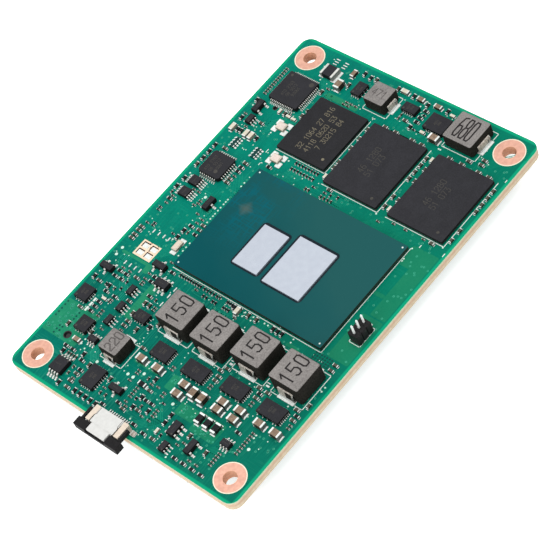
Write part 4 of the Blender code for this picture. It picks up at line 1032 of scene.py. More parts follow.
class QuadPackages(bpy.types.Operator):
    """Make the two square packages with leads on all four sides"""

    bl_idname = "module.quad_packages"
    bl_label = "Quad Packages"

    def execute(self, context):
        """Build each body with cut corners, its leads and their solder, and its dimples."""
        parts = []
        for name, count, pitch, reach, cut, dimples in QUADS:
            place, size, top = seat_places(name)
            side = size[0] - 2 * reach - 0.4
            pieces = [slab(side, side, SEAT - 0.16, top, cut, 0.04, 1, paint=1, cap_paint=0, draft=0.07)]
            lead = bent_lead(reach + 0.2, SEAT + 0.35, 0.14, 0.3)
            foot = solder_foot(reach + 0.1, 0.12, 0.26)
            one = joined(lead, foot).moved((side / 2, 0, 0))
            row = side_by_side(one, 0, evenly(count, pitch))
            pieces.append(repeated(row, [(0, 0, 0)] * 4, [0, 90, 180, 270]))
            for across, up, radius in dimples:
                pieces.append(pin_mark((across * side / 2, up * side / 2), top, radius))
            for text, up in (("410 2763", 1.3), ("08 5512", 0.3), ("93061", -0.7)):
                pieces.append(number_print(text, 0.62, 0.3, 0.45, 0.07, top, 2).moved((-0.2, up, 0)))
            parts.append(joined(*pieces).moved(place))
        add_piece("quad_packages", joined(*parts), PLASTIC_PAINTS,
                  [row[0] for row in QUADS])
        return {"FINISHED"}


def line_shape(start, end, width, low, high, paint=0):
    """A thin flat bar between two places."""
    start, end = np.array(start, float), np.array(end, float)
    span = end - start
    length = float(np.hypot(*span)) + width
    angle = math.degrees(math.atan2(span[1], span[0]))
    middle = (start + end) / 2
    return plate(length, width, low, high, paint).moved((middle[0], middle[1], 0), angle)


# Plain digits drawn as one bent stroke each, in shares of their width and height
STROKES = {
    "0": ((0.2, 0), (0.8, 0), (1, 0.15), (1, 0.85), (0.8, 1), (0.2, 1), (0, 0.85), (0, 0.15), (0.2, 0)),
    "1": ((0.1, 0.75), (0.55, 1), (0.55, 0)),
    "2": ((0, 0.8), (0.2, 1), (0.8, 1), (1, 0.8), (1, 0.6), (0, 0.15), (0, 0), (1, 0)),
    "3": ((0, 1), (1, 1), (0.45, 0.58), (0.8, 0.55), (1, 0.4), (1, 0.15), (0.8, 0), (0.2, 0), (0, 0.15)),
    "4": ((0.75, 0), (0.75, 1), (0, 0.3), (1, 0.3)),
    "5": ((1, 1), (0.05, 1), (0, 0.56), (0.75, 0.58), (1, 0.4), (1, 0.2), (0.75, 0), (0.2, 0), (0, 0.1)),
    "6": ((0.9, 1), (0.3, 0.95), (0, 0.6), (0, 0.15), (0.2, 0), (0.8, 0), (1, 0.2), (1, 0.4), (0.8, 0.55),
          (0.2, 0.55), (0, 0.4)),
    "7": ((0, 1), (1, 1), (0.35, 0)),
    "8": ((0.2, 0.55), (0.8, 0.55), (1, 0.4), (1, 0.15), (0.8, 0), (0.2, 0), (0, 0.15), (0, 0.4),
          (0.2, 0.55), (0.05, 0.7), (0.05, 0.88), (0.2, 1), (0.8, 1), (0.95, 0.88), (0.95, 0.7),
          (0.8, 0.55)),
    "9": ((0.1, 0), (0.7, 0.05), (1, 0.4), (1, 0.85), (0.8, 1), (0.2, 1), (0, 0.8), (0, 0.6), (0.2, 0.45),
          (0.8, 0.45), (1, 0.6)),
}


def number_print(text, tall, wide, pitch, stroke, top, paint):
    """A row of plain digits about the origin, each a bent line of flat bars a hair above the top."""
    bars = []
    for place, digit in enumerate(text):
        left = (place - (len(text) - 1) / 2) * pitch - wide / 2
        points = [(left + x * wide, (y - 0.5) * tall) for x, y in STROKES.get(digit, ())]
        for number, (start, end) in enumerate(zip(points, points[1:])):
            rise = PRINT_RISE + STROKE_RISE * number
            bars.append(line_shape(start, end, stroke, top - 0.01, top + rise, paint))
    return joined(*bars)


# Chokes: solid, turn in degrees, body width along its terminals, body length, then the print:
# digits, height, width of one, pitch, stroke, paint, turn
POWER_PRINT = ("150", 2.8, 1.2, 2.0, 0.3, 4, 0)
CHOKE_KINDS = (
    ("power_choke_1", 0, 6.4, 6.7, POWER_PRINT),
    ("power_choke_2", 0, 6.4, 6.7, POWER_PRINT),
    ("power_choke_3", 0, 6.4, 6.7, POWER_PRINT),
    ("power_choke_4", 0, 6.4, 6.7, POWER_PRINT),
    ("standby_choke", 0, 4.5, 4.5, ("220", 1.9, 0.9, 1.3, 0.24, 5, 0)),
    ("bus_choke", 90, 4.6, 4.6, ("471", 1.5, 0.7, 1.05, 0.18, 5, -90)),
    ("memory_choke", 90, 6.5, 6.3, ("680", 4.3, 0.9, 1.3, 0.3, 4, -90)),
)
CHOKE_PAINTS = ("choke_top", "choke_side", "choke_strip", "solder", "choke_print", "choke_faint_print")


def choke_terminal(body, length, height, with_dark_reflection):
    """A choke's strip: it leaves the body's side near half its height, bows out and folds under.

    A strip with a dark reflection gets a painted dark reflection towards one end, beside its painted
    highlights; any other strip gets a second painted highlight there.
    """
    half = body / 2
    up = SEAT + 0.45 * height
    path = [(half - 0.05, up), (half + 0.16, up - 0.03), (half + 0.27, up - 0.25 * height),
            (half + 0.27, SEAT + 0.1), (half + 0.2, BOARD_TOP + 0.12), (half, BOARD_TOP + 0.1)]
    width = 0.5 * length
    pad = slab(1.4, width + 0.35, PAD_BASE, BOARD_TOP + 0.09, 0.12, 0.05, 2, paint=3)
    fillet = slab(0.3, width * 0.9, BOARD_TOP + 0.02, BOARD_TOP + 0.34, 0.08, 0.05, 2,
                  paint=3, draft=0.1)
    lip = slab(0.07, width, up - 0.05, up + 0.015, 0.02, 0.02, 1, paint=3)
    # Thin strips of bright solder stand for painted highlights on the bent strip
    bow = [(half + 0.02, up), (half + 0.3, up - 0.12 * height), (half + 0.4, up - 0.25 * height),
           (half + 0.36, BOARD_TOP + 0.3), (half + 0.2, BOARD_TOP + 0.12)]
    bright = strip(bow, 0.16, 0.1, paint=3)
    parts = [strip(path, width, 0.14, paint=2), pad.moved((half + 0.3, 0, 0)),
             fillet.moved((half + 0.36, 0, 0)), lip.moved((half + 0.1, 0, 0)),
             bright.moved((0, 0.5 * width, 0))]
    if with_dark_reflection:
        # Painted dark reflection: a dark strip in the choke's side colour laid over part of the terminal
        gap = strip(path[1:4], 0.42 * width, 0.17, paint=1)
        parts.append(gap.moved((0, 0.2 * width, 0)))
    else:
        # A second painted highlight where no dark reflection is painted
        parts.append(bright.moved((0, 0.32 * width, 0)))
    return joined(*parts)


class Chokes(bpy.types.Operator):
    """Make the seven moulded chokes with tin strips at their ends and plain digits on top"""

    bl_idname = "module.chokes"
    bl_label = "Chokes"

    def execute(self, context):
        """Build each pressed body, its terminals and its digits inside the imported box."""
        for name, turn, width, length, print_row in CHOKE_KINDS:
            place, _, top = seat_places(name)
            height = top - SEAT
            ease = 0.1 * height
            profile = ((0.12, SEAT - 0.05), (0.02, SEAT + 0.08), (0, SEAT + 0.2), (0, top - ease - 0.08),
                       (0.03, top - ease), (0.1, top - 0.3 * ease), (0.24, top))
            rings = outline_rings(width, length, 0.45, profile, 5)
            core = ring_stack(rings, 1, cap_paint=0, smooth=True)
            core.paint[-2 - rings.shape[1]:-2] = 0
            end = choke_terminal(width, length, height, turn == 0)
            body = joined(core, end, end.turned(180)).moved(place, turn)
            digits, tall, wide, pitch, stroke, paint, straight = print_row
            ink = number_print(digits, tall, wide, pitch, stroke, top, paint).moved(place, straight)
            add_piece(name + "_skin", joined(body, ink), CHOKE_PAINTS, (name,))
        return {"FINISHED"}


# Rows of plain digits on the storage chip and on a memory chip: digits, middle in X and Y, height
STORAGE_PRINT = (
    ("32 1064 27 816", 0.3, 1.9, 1.05),
    ("4118 0620 53", -0.4, 0.2, 1.05),
    ("7 30215 84", 0.3, -1.5, 1.05),
)
MEMORY_PRINT = (("46 1280", 0.4, 1.6, 1.2), ("51 073", -0.2, -0.1, 1.2))


class MemoryChips(bpy.types.Operator):
    """Make the storage chip and the two memory chips on their rows of solder balls"""

    bl_idname = "module.memory_chips"
    bl_label = "Memory Chips"

    def execute(self, context):
        """Build the moulded bodies over a thin laminate, faint print, and the outer balls."""
        parts = []
        chips = ("storage_chip", "memory_chip_1", "memory_chip_2")
        for name in chips:
            place, size, top = seat_places(name)
            base = slab(size[0] - 0.02, size[1] - 0.02, SEAT - 0.06, SEAT + 0.14, 0.12, 0.02, 2, paint=3)
            body = slab(size[0], size[1], SEAT + 0.12, top, 0.25, 0.05, 4, paint=1, cap_paint=0)
            storage = name == "storage_chip"
            if storage:
                body.paint[body.paint == 0] = 5
            pieces = [base, body]
            rows = STORAGE_PRINT if storage else MEMORY_PRINT
            ink = 6 if storage else 2
            for text, x, y, tall in rows:
                row = number_print(text, tall, 0.5 * tall, 0.72 * tall, 0.1, top, ink)
                pieces.append(row.moved((x, y, 0)))
            first_pin = (-4.7, -4.1, 0) if storage else (1.4 - size[0] / 2, 1.9 - size[1] / 2, 0)
            pieces.append(disc(0.3, top - 0.01, top + 0.008, 14, paint=ink).moved(first_pin))
            across = np.arange(-size[0] / 2 + 0.6, size[0] / 2 - 0.5, 0.8)
            up = np.arange(-size[1] / 2 + 0.6, size[1] / 2 - 0.5, 0.8)
            balls = [(x, y, 0) for x in across for y in (up[0], up[-1])]
            balls += [(x, y, 0) for x in (across[0], across[-1]) for y in up]
            pieces.append(repeated(disc(0.2, BOARD_TOP, SEAT, 8, paint=4), balls))
            parts.append(joined(*pieces).moved(place))
        add_piece("memory_packages", joined(*parts),
                  ("moulded_black_top", "moulded_black_side", "laser_mark", "laminate_edge", "solder",
                   "storage_top", "storage_print"), chips)
        return {"FINISHED"}


class Crystals(bpy.types.Operator):
    """Make the three crystals: ceramic bases, metal lids with a seam, and corner pads"""

    bl_idname = "module.crystals"
    bl_label = "Crystals"

    def execute(self, context):
        """Build each crystal on its packed box, with pads that reach past its corners."""
        parts = []
        crystals = ("network_crystal", "processor_crystal", "clock_crystal")
        for name in crystals:
            place, size, top = seat_places(name)
            ends = name == "clock_crystal"
            base = slab(size[0], size[1], SEAT - 0.2, top - 0.1, 0.12, 0.03, 2)
            lid = slab(size[0] - 0.3, size[1] - 0.3, top - 0.12, top, 0.1, 0.05, 3, paint=2 if ends else 1)
            pad = slab(1.3 if ends else 1.25, 1.3 if ends else 1.2, PAD_BASE, BOARD_TOP + 0.12,
                       0.12, 0.05, 2, paint=3)
            if ends:
                spots = [(-1.15, 0, 0), (1.15, 0, 0)]
            else:
                spots = four_corners(0.8, 1.15)
            parts.append(joined(base, lid, repeated(pad, spots)).moved(place))
        add_piece("crystals", joined(*parts), ("ceramic_pale", "lid_metal", "nylon_cream", "solder"),
                  crystals)
        return {"FINISHED"}


class Diode(bpy.types.Operator):
    """Make the clamp diode: a moulded block with a metal cap at each end"""

    bl_idname = "module.diode"
    bl_label = "Diode"

    def execute(self, context):
        """Build the body, the two caps and the pads they stand on."""
        place, size, top = seat_places("clamp_diode")
        body = slab(size[0], size[1] - 0.9, SEAT - 0.15, top, 0.06, 0.05, 1, paint=1, cap_paint=0)
        cap = slab(size[0] + 0.02, 0.5, SEAT - 0.2, top + 0.015, 0.06, 0.06, 2, paint=3)
        pad = slab(size[0] + 0.3, 1.1, PAD_BASE, BOARD_TOP + 0.1, 0.1, 0.05, 2, paint=4)
        end = joined(cap.moved((0, size[1] / 2 - 0.25, 0)), pad.moved((0, size[1] / 2 - 0.05, 0)))
        whole = joined(body, end, end.turned(180)).moved(place)
        add_piece("clamp_diode_skin", whole, PLASTIC_PAINTS, ("clamp_diode",))
        return {"FINISHED"}


class Header(bpy.types.Operator):
    """Make the three-pin header: a notched carrier and three square pins"""

    bl_idname = "module.header"
    bl_label = "Header"

    def execute(self, context):
        """Build the carrier cell by cell, and each pin with a pointed tip."""
        place, size, top = seat_places("header_carrier")
        pins = ("header_pin_1", "header_pin_2", "header_pin_3")
        cell = size[0] / len(pins)
        block = slab(cell + 0.01, size[1], BOARD_TOP + 0.02, top, 0.28, 0.05, 2)
        blocks = repeated(block, [(shift, 0, 0) for shift in evenly(len(pins), cell)]).moved(place)
        add_piece("header_carrier_skin", blocks, ("nylon_black",), ("header_carrier",))
        shapes = []
        for name in pins:
            spot, pin_size, pin_top = seat_places(name)
            side = 0.8 * pin_size[0]
            profile = ((0, BOARD_TOP), (0, pin_top - 0.25), (0.1, pin_top))
            shapes.append(ring_stack(outline_rings(side, side, 0.03, profile, 1), 0).moved(spot))
        add_piece("header_pins", joined(*shapes), ("pin_white",), pins)
        return {"FINISHED"}


class CableConnector(bpy.types.Operator):
    """Make the flat cable connector: pale housing with its row of contacts, and its solder tabs"""

    bl_idname = "module.cable_connector"
    bl_label = "Cable Connector"

    def execute(self, context):
        """Build floor, roof, end blocks and back of the housing, its contacts, tails and tabs."""
        (left, low_y, low), (right, high_y, high) = box_corners("cable_connector_housing")
        centre_y = (low_y + high_y) / 2
        mouth = left + 1.6
        rear = right - 0.45
        wall = 1.1
        nose = 2.15
        inner = (low_y + wall - 0.05, high_y - wall + 0.05)
        parts = [
            slab_between(mouth, rear, low_y, low_y + wall, low - 0.2, high - 0.12, 3),
            slab_between(mouth, rear, high_y - wall, high_y, low - 0.2, high - 0.12, 3),
            slab_between(mouth, rear, low_y + wall + 0.12, high_y - wall - 0.12, high - 0.45, high),
            # Painted shade: a dark plate under the roof that shows in the narrow gaps beside it
            slab_between(mouth, rear - 0.1, *inner, high - 0.6, high - 0.4, 4),
            slab_between(left, mouth + 0.1, centre_y - nose, centre_y + nose, high - 0.45, high),
            slab_between(mouth, rear, *inner, low - 0.2, low + 0.3),
            slab_between(rear - 0.9, rear, *inner, low, high - 0.2),
        ]
        shifts = evenly(CABLE_CONTACTS, CONTACT_PITCH) + centre_y
        tail = joined(
            strip([(-0.2, BOARD_TOP + 0.5), (0.12, BOARD_TOP + 0.42), (0.2, BOARD_TOP + 0.14),
                   (0.62, BOARD_TOP + 0.1)], 0.2, 0.12, paint=1),
            slab(0.9, 0.22, PAD_BASE, BOARD_TOP + 0.12, 0.06, 0.04, 1, paint=2).moved((0.55, 0, 0)),
        )
        parts.append(side_by_side(tail, rear, shifts))
        finger = slab(1.9, 0.2, high - 0.62, high - 0.47, 0.03, 0.03, 1, paint=1)
        parts.append(side_by_side(finger, mouth + 0.5, shifts))
        ribs = slab(1.2, 0.12, high - 0.02, high + 0.006, 0.02, 0.01, 1)
        parts.append(side_by_side(ribs, mouth + 1.6, shifts[::3]))
        # Painted shade: thin dark lines with a jog along the crevices between the arms and the roof
        for side, wall_y in ((-1, low_y + wall), (1, high_y - wall)):
            jog = [(mouth, wall_y), (mouth + 1.3, wall_y), (mouth + 1.7, wall_y - 0.3 * side),
                   (rear - 0.2, wall_y - 0.3 * side)]
            for number, (start, end) in enumerate(zip(jog, jog[1:])):
                parts.append(line_shape(start, end, 0.1, high - 0.2, high + 0.004 + 0.0004 * number, 4))
        # Painted shade: a black plate under the rear, seen between the contact tails
        parts.append(slab_between(rear - 0.05, rear + 0.75, centre_y - 2.5, centre_y + 2.5,
                                  BOARD_TOP, BOARD_TOP + 0.08, 6))
        tabs = ("cable_connector_tab_1", "cable_connector_tab_2")
        for tab in tabs:
            spot, (across, along, _), _ = seat_places(tab)
            plate_on_top = slab(across, along, BOARD_TOP + 0.05, BOARD_TOP + 0.22, 0.05, 0.04, 1, paint=5)
            solder = slab(across + 0.12, along + 0.12, PAD_BASE, BOARD_TOP + 0.1, 0.1, 0.05, 1, paint=2)
            parts.append(joined(plate_on_top, solder).moved(spot))
        add_piece("cable_housing_skin", joined(*parts),
                  ("nylon_white", "tinned_lead", "solder", "nylon_cream", "nylon_painted_shade", "choke_strip",
                   "chip_black"),
                  ("cable_connector_housing",) + tabs)
        return {"FINISHED"}


class CableSlider(bpy.types.Operator):
    """Make the black slider that clamps the flat cable: ears, front bar and two arms"""

    bl_idname = "module.cable_slider"
    bl_label = "Cable Slider"

    def execute(self, context):
        """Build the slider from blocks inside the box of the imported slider."""
        (left, low_y, low), (right, high_y, high) = box_corners("cable_connector_slider")
        ear = 2.8
        arm = 0.55
        blocks = (
            (left, left + 1.7, low_y, low_y + ear, low, high, 0.1),
            (left, left + 1.7, high_y - ear, high_y, low, high, 0.1),
            (left, left + 0.5, low_y + ear - 0.1, high_y - ear + 0.1, low, low + 0.85, 0.1),
            (left + 1.5, right, low_y + 0.45, low_y + 0.45 + arm, low + 0.8, low + 1.6, 0.05),
            (left + 1.5, right, high_y - 0.45 - arm, high_y - 0.45, low + 0.8, low + 1.6, 0.05),
            (left + 0.4, left + 3.2, low_y + ear, high_y - ear, low + 0.38, low + 0.7, 0.05),
        )
        parts = [slab_between(*sides, radius=radius, edge=0.05, steps=2) for *sides, radius in blocks]
        add_piece("cable_slider_skin", joined(*parts), ("nylon_black",),
                  ("cable_connector_slider",), MOVING)
        return {"FINISHED"}


class ModulePlug(bpy.types.Operator):
    """Make the long plug on the underside: a shroud round a tongue with contacts on its two sides"""

    bl_idname = "module.module_plug"
    bl_label = "Module Plug"

    def execute(self, context):
        """Build the shroud's walls and floor, the tongue, the contacts, the tails and the pegs."""
        (left, low_y, bottom), (right, high_y, high) = box_corners("module_plug")
        seat = -0.3
        middle = ((left + right) / 2, (low_y + high_y) / 2, 0)
        length, width = right - left, high_y - low_y
        wall, floor = 0.9, 1.0
        tongue_width, tongue_end, tongue_drop = 1.7, 2.2, 0.5
        shoulder = seat - floor + 0.02
        tongue = slab(length - 2 * tongue_end, tongue_width, bottom + tongue_drop, shoulder, 0.2, 0.05, 2)
        long_wall = slab(length, wall, bottom, shoulder, 0.25, 0.06, 2)
        end_wall = slab(wall, width, bottom, shoulder, 0.25, 0.06, 2)
        contact = slab(0.22, 0.1, bottom + tongue_drop + 0.25, seat - floor, 0.03, 0.03, 1, paint=1)
        tail = slab(0.2, 0.6, -0.22, -0.08, 0.03, 0.03, 1, paint=2)
        places = [(shift, 0, 0) for shift in evenly(PLUG_CONTACTS, CONTACT_PITCH)]
        contacts, tails = repeated(contact, places), repeated(tail, places)
        parts = [slab(length, width, seat - floor, seat + 0.28, 0.3, 0.04, 2), tongue]
        for side in (-1, 1):
            parts += [
                long_wall.moved((0, side * (width - wall) / 2, 0)),
                end_wall.moved((side * (length - wall) / 2, 0, 0)),
                contacts.moved((0, side * (tongue_width / 2 + 0.03), 0)),
                tails.moved((0, side * (width / 2 + 0.2), 0)),
            ]
        for place, radius in ((left + 1.65, 0.55), (right - 1.65, 0.3)):
            peg = slab(2 * radius, 2 * radius, seat - 0.1, high, radius, 0.08, 6)
            parts.append(peg.moved((place - middle[0], 0, 0)))
        whole = joined(*parts).moved(middle)
        add_piece("module_plug_skin", whole, ("plug_black", "contact_gold", "solder"),
                  ("module_plug",))
        return {"FINISHED"}


# White print on the board: straight lines from one place to another
SILK_LINES = (
    ((-11.45, -21.0), (-11.45, 14.2)),
    ((-11.45, -21.0), (13.0, -21.0)),
    ((18.2, 3.2), (18.2, 14.9)),
    ((18.2, 3.2), (31.5, 3.2)),
    ((16.15, -10.85), (16.15, 2.1)),
    ((16.15, -10.85), (31.6, -10.85)),
    ((16.15, -25.85), (16.15, -12.85)),
    ((16.15, -25.85), (31.6, -25.85)),
    ((-7.2, -26.1), (-7.2, -23.7)),
    ((-7.2, -26.1), (-3.0, -26.1)),
    ((-7.2, -23.7), (-6.8, -23.7)),
    ((-3.0, -26.1), (-3.0, -25.3)),
    ((13.8, 15.5), (14.4, 15.5)),
    ((14.4, 15.2), (14.4, 15.5)),
    ((16.8, 16.2), (17.4, 16.2)),
    ((32.1, 3.2), (32.4, 3.2)),
    ((32.4, 2.9), (32.4, 3.5)),
    ((14.0, -22.2), (14.5, -22.2)),
    ((14.5, -26.9), (15.1, -26.9)),
    ((32.4, -26.8), (32.9, -26.8)),
    ((-12.8, -22.3), (-12.8, -21.8)),
)

# Rectangles of print broken in the middle of two sides: lower left, upper right, axis, half gap
SILK_FRAMES = (
    ((-22.95, 0.15), (-15.25, 7.4), "x", 1.95),
    ((-22.95, -8.1), (-15.25, -0.9), "x", 1.95),
    ((-21.8, -16.6), (-14.1, -9.4), "x", 1.95),
    ((-21.8, -25.55), (-14.1, -18.35), "x", 1.95),
    ((-32.3, 7.8), (-27.2, 13.1), "x", 1.45),
    ((33.35, 1.15), (38.6, 6.7), "y", 1.45),
    ((33.4, -19.3), (40.4, -11.8), "y", 1.95),
)

# A thick broken bar of print, as its three runs along X
SILK_BAR = ((-26.8, -25.8), (-25.6, -24.7), (-24.5, -23.7))

# Round marks of print beside a first pin
SILK_DOTS = ((-2.65, -25.0),)

# Places of the alignment holes over the plug, with their radii
PEG_HOLES = (((-32.2, 21.5), 0.7), ((25.5, 21.5), 0.45))


def broken_frame(low, high, axis, gap):
    """The straight runs of a rectangle that is open over a gap in the middle of two sides."""
    (x0, y0), (x1, y1) = low, high
    middle_x, middle_y = (x0 + x1) / 2, (y0 + y1) / 2
    runs = []
    if axis == "x":
        runs += [((x0, y), (x1, y)) for y in (y0, y1)]
        for x in (x0, x1):
            runs += [((x, y0), (x, middle_y - gap)), ((x, middle_y + gap), (x, y1))]
    else:
        runs += [((x, y0), (x, y1)) for x in (x0, x1)]
        for y in (y0, y1):
            runs += [((x0, y), (middle_x - gap, y)), ((middle_x + gap, y), (x1, y))]
    return [run for run in runs if abs(run[1][0] - run[0][0]) + abs(run[1][1] - run[0][1]) > 0.2]


class Silkscreen(bpy.types.Operator):
    """Print the white outlines and first-pin marks on the board"""

    bl_idname = "module.silkscreen"
    bl_label = "Silkscreen"

    def execute(self, context):
        """Lay every line as a thin bar on the lacquer."""
        width = context.scene.module_sizes.silk_width / MM
        low, high = FILM_BASE, BOARD_TOP + 0.022
        runs = list(SILK_LINES)
        for frame_row in SILK_FRAMES:
            runs += broken_frame(*frame_row)
        shapes = [line_shape(start, end, width, low, high) for start, end in runs]
        dots = [(x, y, 0) for x, y in SILK_DOTS]
        shapes.append(repeated(disc(0.2, low, high, 12), dots))
        for left, right in SILK_BAR:
            shapes.append(plate(right - left, 0.42, low, high).moved(((left + right) / 2, 22.3, 0)))
        add_piece("silkscreen", joined(*shapes), ("silkscreen",))
        return {"FINISHED"}


# Areas of copper under the lacquer: lower left and upper right corners
POURS = (
    ((-33.6, 22.4), (-26.2, 26.9)),
    ((-31.3, 18.6), (-26.2, 22.9)),
    ((-33.6, 18.6), (-33.1, 23.0)),
    ((-33.6, 18.6), (-27.0, 20.6)),
    ((-13.8, 18.2), (-13.2, 25.3)),
    ((-15.2, 17.6), (-13.2, 18.9)),
    ((-11.3, -26.7), (-1.5, -22.2)),
    ((-1.2, -26.7), (13.9, -23.4)),
    ((2.4, -23.4), (3.2, -21.1)),
    ((9.5, -23.4), (13.9, -21.1)),
    ((-35.0, -16.6), (-31.0, -11.0)),
    ((-33.8, -10.7), (-31.3, -6.5)),
    ((-31.0, -3.2), (-28.0, -1.5)),
    ((-29.9, 1.0), (-29.3, 6.8)),
    ((-13.5, -17.5), (-12.8, -14.5)),
    ((32.0, 7.2), (33.2, 14.8)),
    ((-24.0, 13.4), (-14.4, 15.2)),
)

# Dark filled vias in the copper areas
DARK_VIAS = (
    (-33.1, 24.2), (-32.3, 24.2), (-31.5, 24.2), (-32.3, 23.5), (-31.5, 23.5), (-30.2, 26.5),
    (-29.4, 26.5), (-28.6, 26.5), (-27.7, 26.5), (-26.9, 26.5), (-29.2, 22.8), (-28.5, 22.8),
    (-27.7, 22.8),
)

# Areas with no tinned vias: lower left and upper right corners
QUIET = (
    ((-5.6, 18.8), (-0.4, 24.6)), ((-14.2, -27.0), (16.0, -21.0)), ((12.9, -21.0), (15.9, -3.0)),
    ((-13.4, 17.2), (-8.4, 24.6)), ((-33.8, 22.0), (-26.4, 27.0)), ((31.5, -27.0), (36.0, -23.0)),
    ((-40.0, -27.0), (-33.0, -20.0)), ((-34.6, 19.0), (-31.0, 23.0)), ((22.4, 18.0), (26.0, 23.4)),
    ((14.2, -27.0), (33.0, 2.6)),
)


def routes():
    """Bundles of parallel covered traces: each runs straight, then at 45 degrees, then straight again."""
    bundles = (
        ((13.2, 11.5), (16.6, 8.0), 9, (0, -0.42)),
        ((13.0, 0.5), (16.2, -1.4), 12, (0, -0.4)),
        ((13.0, -9.0), (16.2, -13.4), 14, (0, -0.36)),
        ((13.1, -15.0), (16.2, -19.0), 12, (0, -0.4)),
        ((-8.5, 14.4), (-12.5, 20.4), 9, (0.42, 0)),
        ((-1.5, 14.4), (1.2, 20.6), 8, (0.45, 0)),
        ((5.4, 14.4), (8.0, 18.0), 9, (0.42, 0)),
        ((-12.4, -1.0), (-14.4, 2.2), 8, (0, -0.5)),
        ((24.2, 15.4), (19.6, 20.5), 7, (0.5, 0)),
        ((31.8, 14.6), (36.4, 19.8), 7, (0.42, 0)),
        ((-37.4, -2.6), (-40.4, -7.8), 9, (0.45, 0)),
        ((-35.4, 12.8), (-32.0, 15.4), 6, (0.4, 0)),
        ((-40.6, 0.6), (-36.4, -4.6), 6, (0, -0.42)),
        ((-22.0, 17.6), (-13.4, 22.6), 6, (0, 0.4)),
        ((31.8, -1.0), (33.8, -6.0), 9, (0, -0.42)),
        ((31.9, -20.0), (39.4, -24.8), 6, (0, -0.45)),
        ((-38.6, -16.2), (-32.4, -17.6), 6, (0, -0.42)),
    )
    for start, end, count, step in bundles:
        start, end, step = (np.array(value, float) for value in (start, end, step))
        span = end - start
        bend = min(abs(span))
        straight = np.where(np.abs(span) > bend, span - np.sign(span) * bend, 0)
        knee = start + straight * 0.5
        other = knee + np.sign(span) * bend
        for number in range(count):
            shift = step * number
            yield start + shift, knee + shift
            yield knee + shift, other + shift
            yield other + shift, end + shift


def clear_of_screws(places):
    """Which places lie off the copper round the board's four screw holes."""
    return np.abs(places - np.array(SCREW_HOLE) * np.sign(places)).max(1) > SCREW_CLEARANCE


def scattered(rng, corner, size, count):
    """Places drawn at random within a rectangle, from its lower left corner on."""
    return np.array(corner) + rng.random((count, 2)) * np.array(size)


class BoardCopper(bpy.types.Operator):
    """Show the copper under the lacquer: pours, traces and filled vias"""

    bl_idname = "module.board_copper"
    bl_label = "Board Copper"

    def execute(self, context):
        """Lay pours and traces as films on the board, and scatter vias with a set seed."""
        films = []
        for number, (low, high) in enumerate(POURS):
            size = np.subtract(high, low)
            middle = np.add(high, low) / 2
            top = BOARD_TOP + 0.008 + 0.0008 * number
            films.append(plate(size[0], size[1], FILM_BASE, top, 0, 0.3, 3).moved((*middle, 0)))
        for start, end in routes():
            if np.abs(end - start).max() > 0.05:
                films.append(line_shape(start, end, 0.15, FILM_BASE, BOARD_TOP + 0.006, 1))
        films.append(annulus(0.85, 1.4, FILM_BASE, BOARD_TOP + 0.014).moved((*PEG_HOLES[0][0], 0)))
        add_piece("covered_copper", joined(*films), ("mask_over_copper", "mask_over_trace"))
        rng = np.random.default_rng(11)
        spots = []
        for low, high in POURS:
            size = np.subtract(high, low)
            count = int(size[0] * size[1] * (0.9 if high[0] < -14 else 0.06))
            spots.append(scattered(rng, np.array(low) + 0.3, size - 0.6, count))
        loose = scattered(rng, (-41, -26.6), (82, 53.2), 900)
        clear = [np.hypot(*(loose - hole[0]).T) > 1.4 for hole in PEG_HOLES]
        loose = loose[clear_of_screws(loose) & clear[0] & clear[1]]
        via = joined(annulus(0.1, 0.21, FILM_BASE, BOARD_TOP + 0.02, 8),
                     disc(0.11, FILM_BASE, BOARD_TOP + 0.012, 6, paint=1))
        places = np.concatenate(spots + [loose])
        places = places[np.hypot(*(places - PEG_HOLES[0][0]).T) > 1.3]
        below = scattered(rng, (-40, -26), (80, 44), 700)
        below = at_height(below[clear_of_screws(below)], BOARD_TOP)
        flipped = facing_out(repeated(via, below, None, np.tile([1, 1, -1], (len(below), 1))))
        add_piece("vias", joined(repeated(via, at_height(places)), flipped),
                  ("via_rim", "mask_over_gap"))
        tinned = scattered(rng, (-40.5, -26.3), (81, 52.6), 760)
        keep = clear_of_screws(tinned)
        for low, high in QUIET:
            keep &= ~((tinned > low) & (tinned < high)).all(1)
        dot = disc(0.12, FILM_BASE, BOARD_TOP + 0.02, 8)
        add_piece("tinned_vias", repeated(dot, at_height(tinned[keep])), ("tinned_spot",))
        grid = [(x, y) for x in (-13.3, -12.8, -12.25, -11.7) for y in -20.3 - 0.58 * np.arange(7)]
        dark = [(x, y, 0) for x, y in DARK_VIAS + tuple(grid)]
        plugs = repeated(disc(0.2, FILM_BASE, BOARD_TOP + 0.024, 10), dark)
        rims = [annulus(radius - 0.03, radius + 0.1, -0.01, BOARD_TOP + 0.026, 32, 1).moved((*place, 0))
                for place, radius in PEG_HOLES]
        add_piece("dark_vias", joined(plugs, *rims), ("mask_over_gap", "plug_black"))
        return {"FINISHED"}


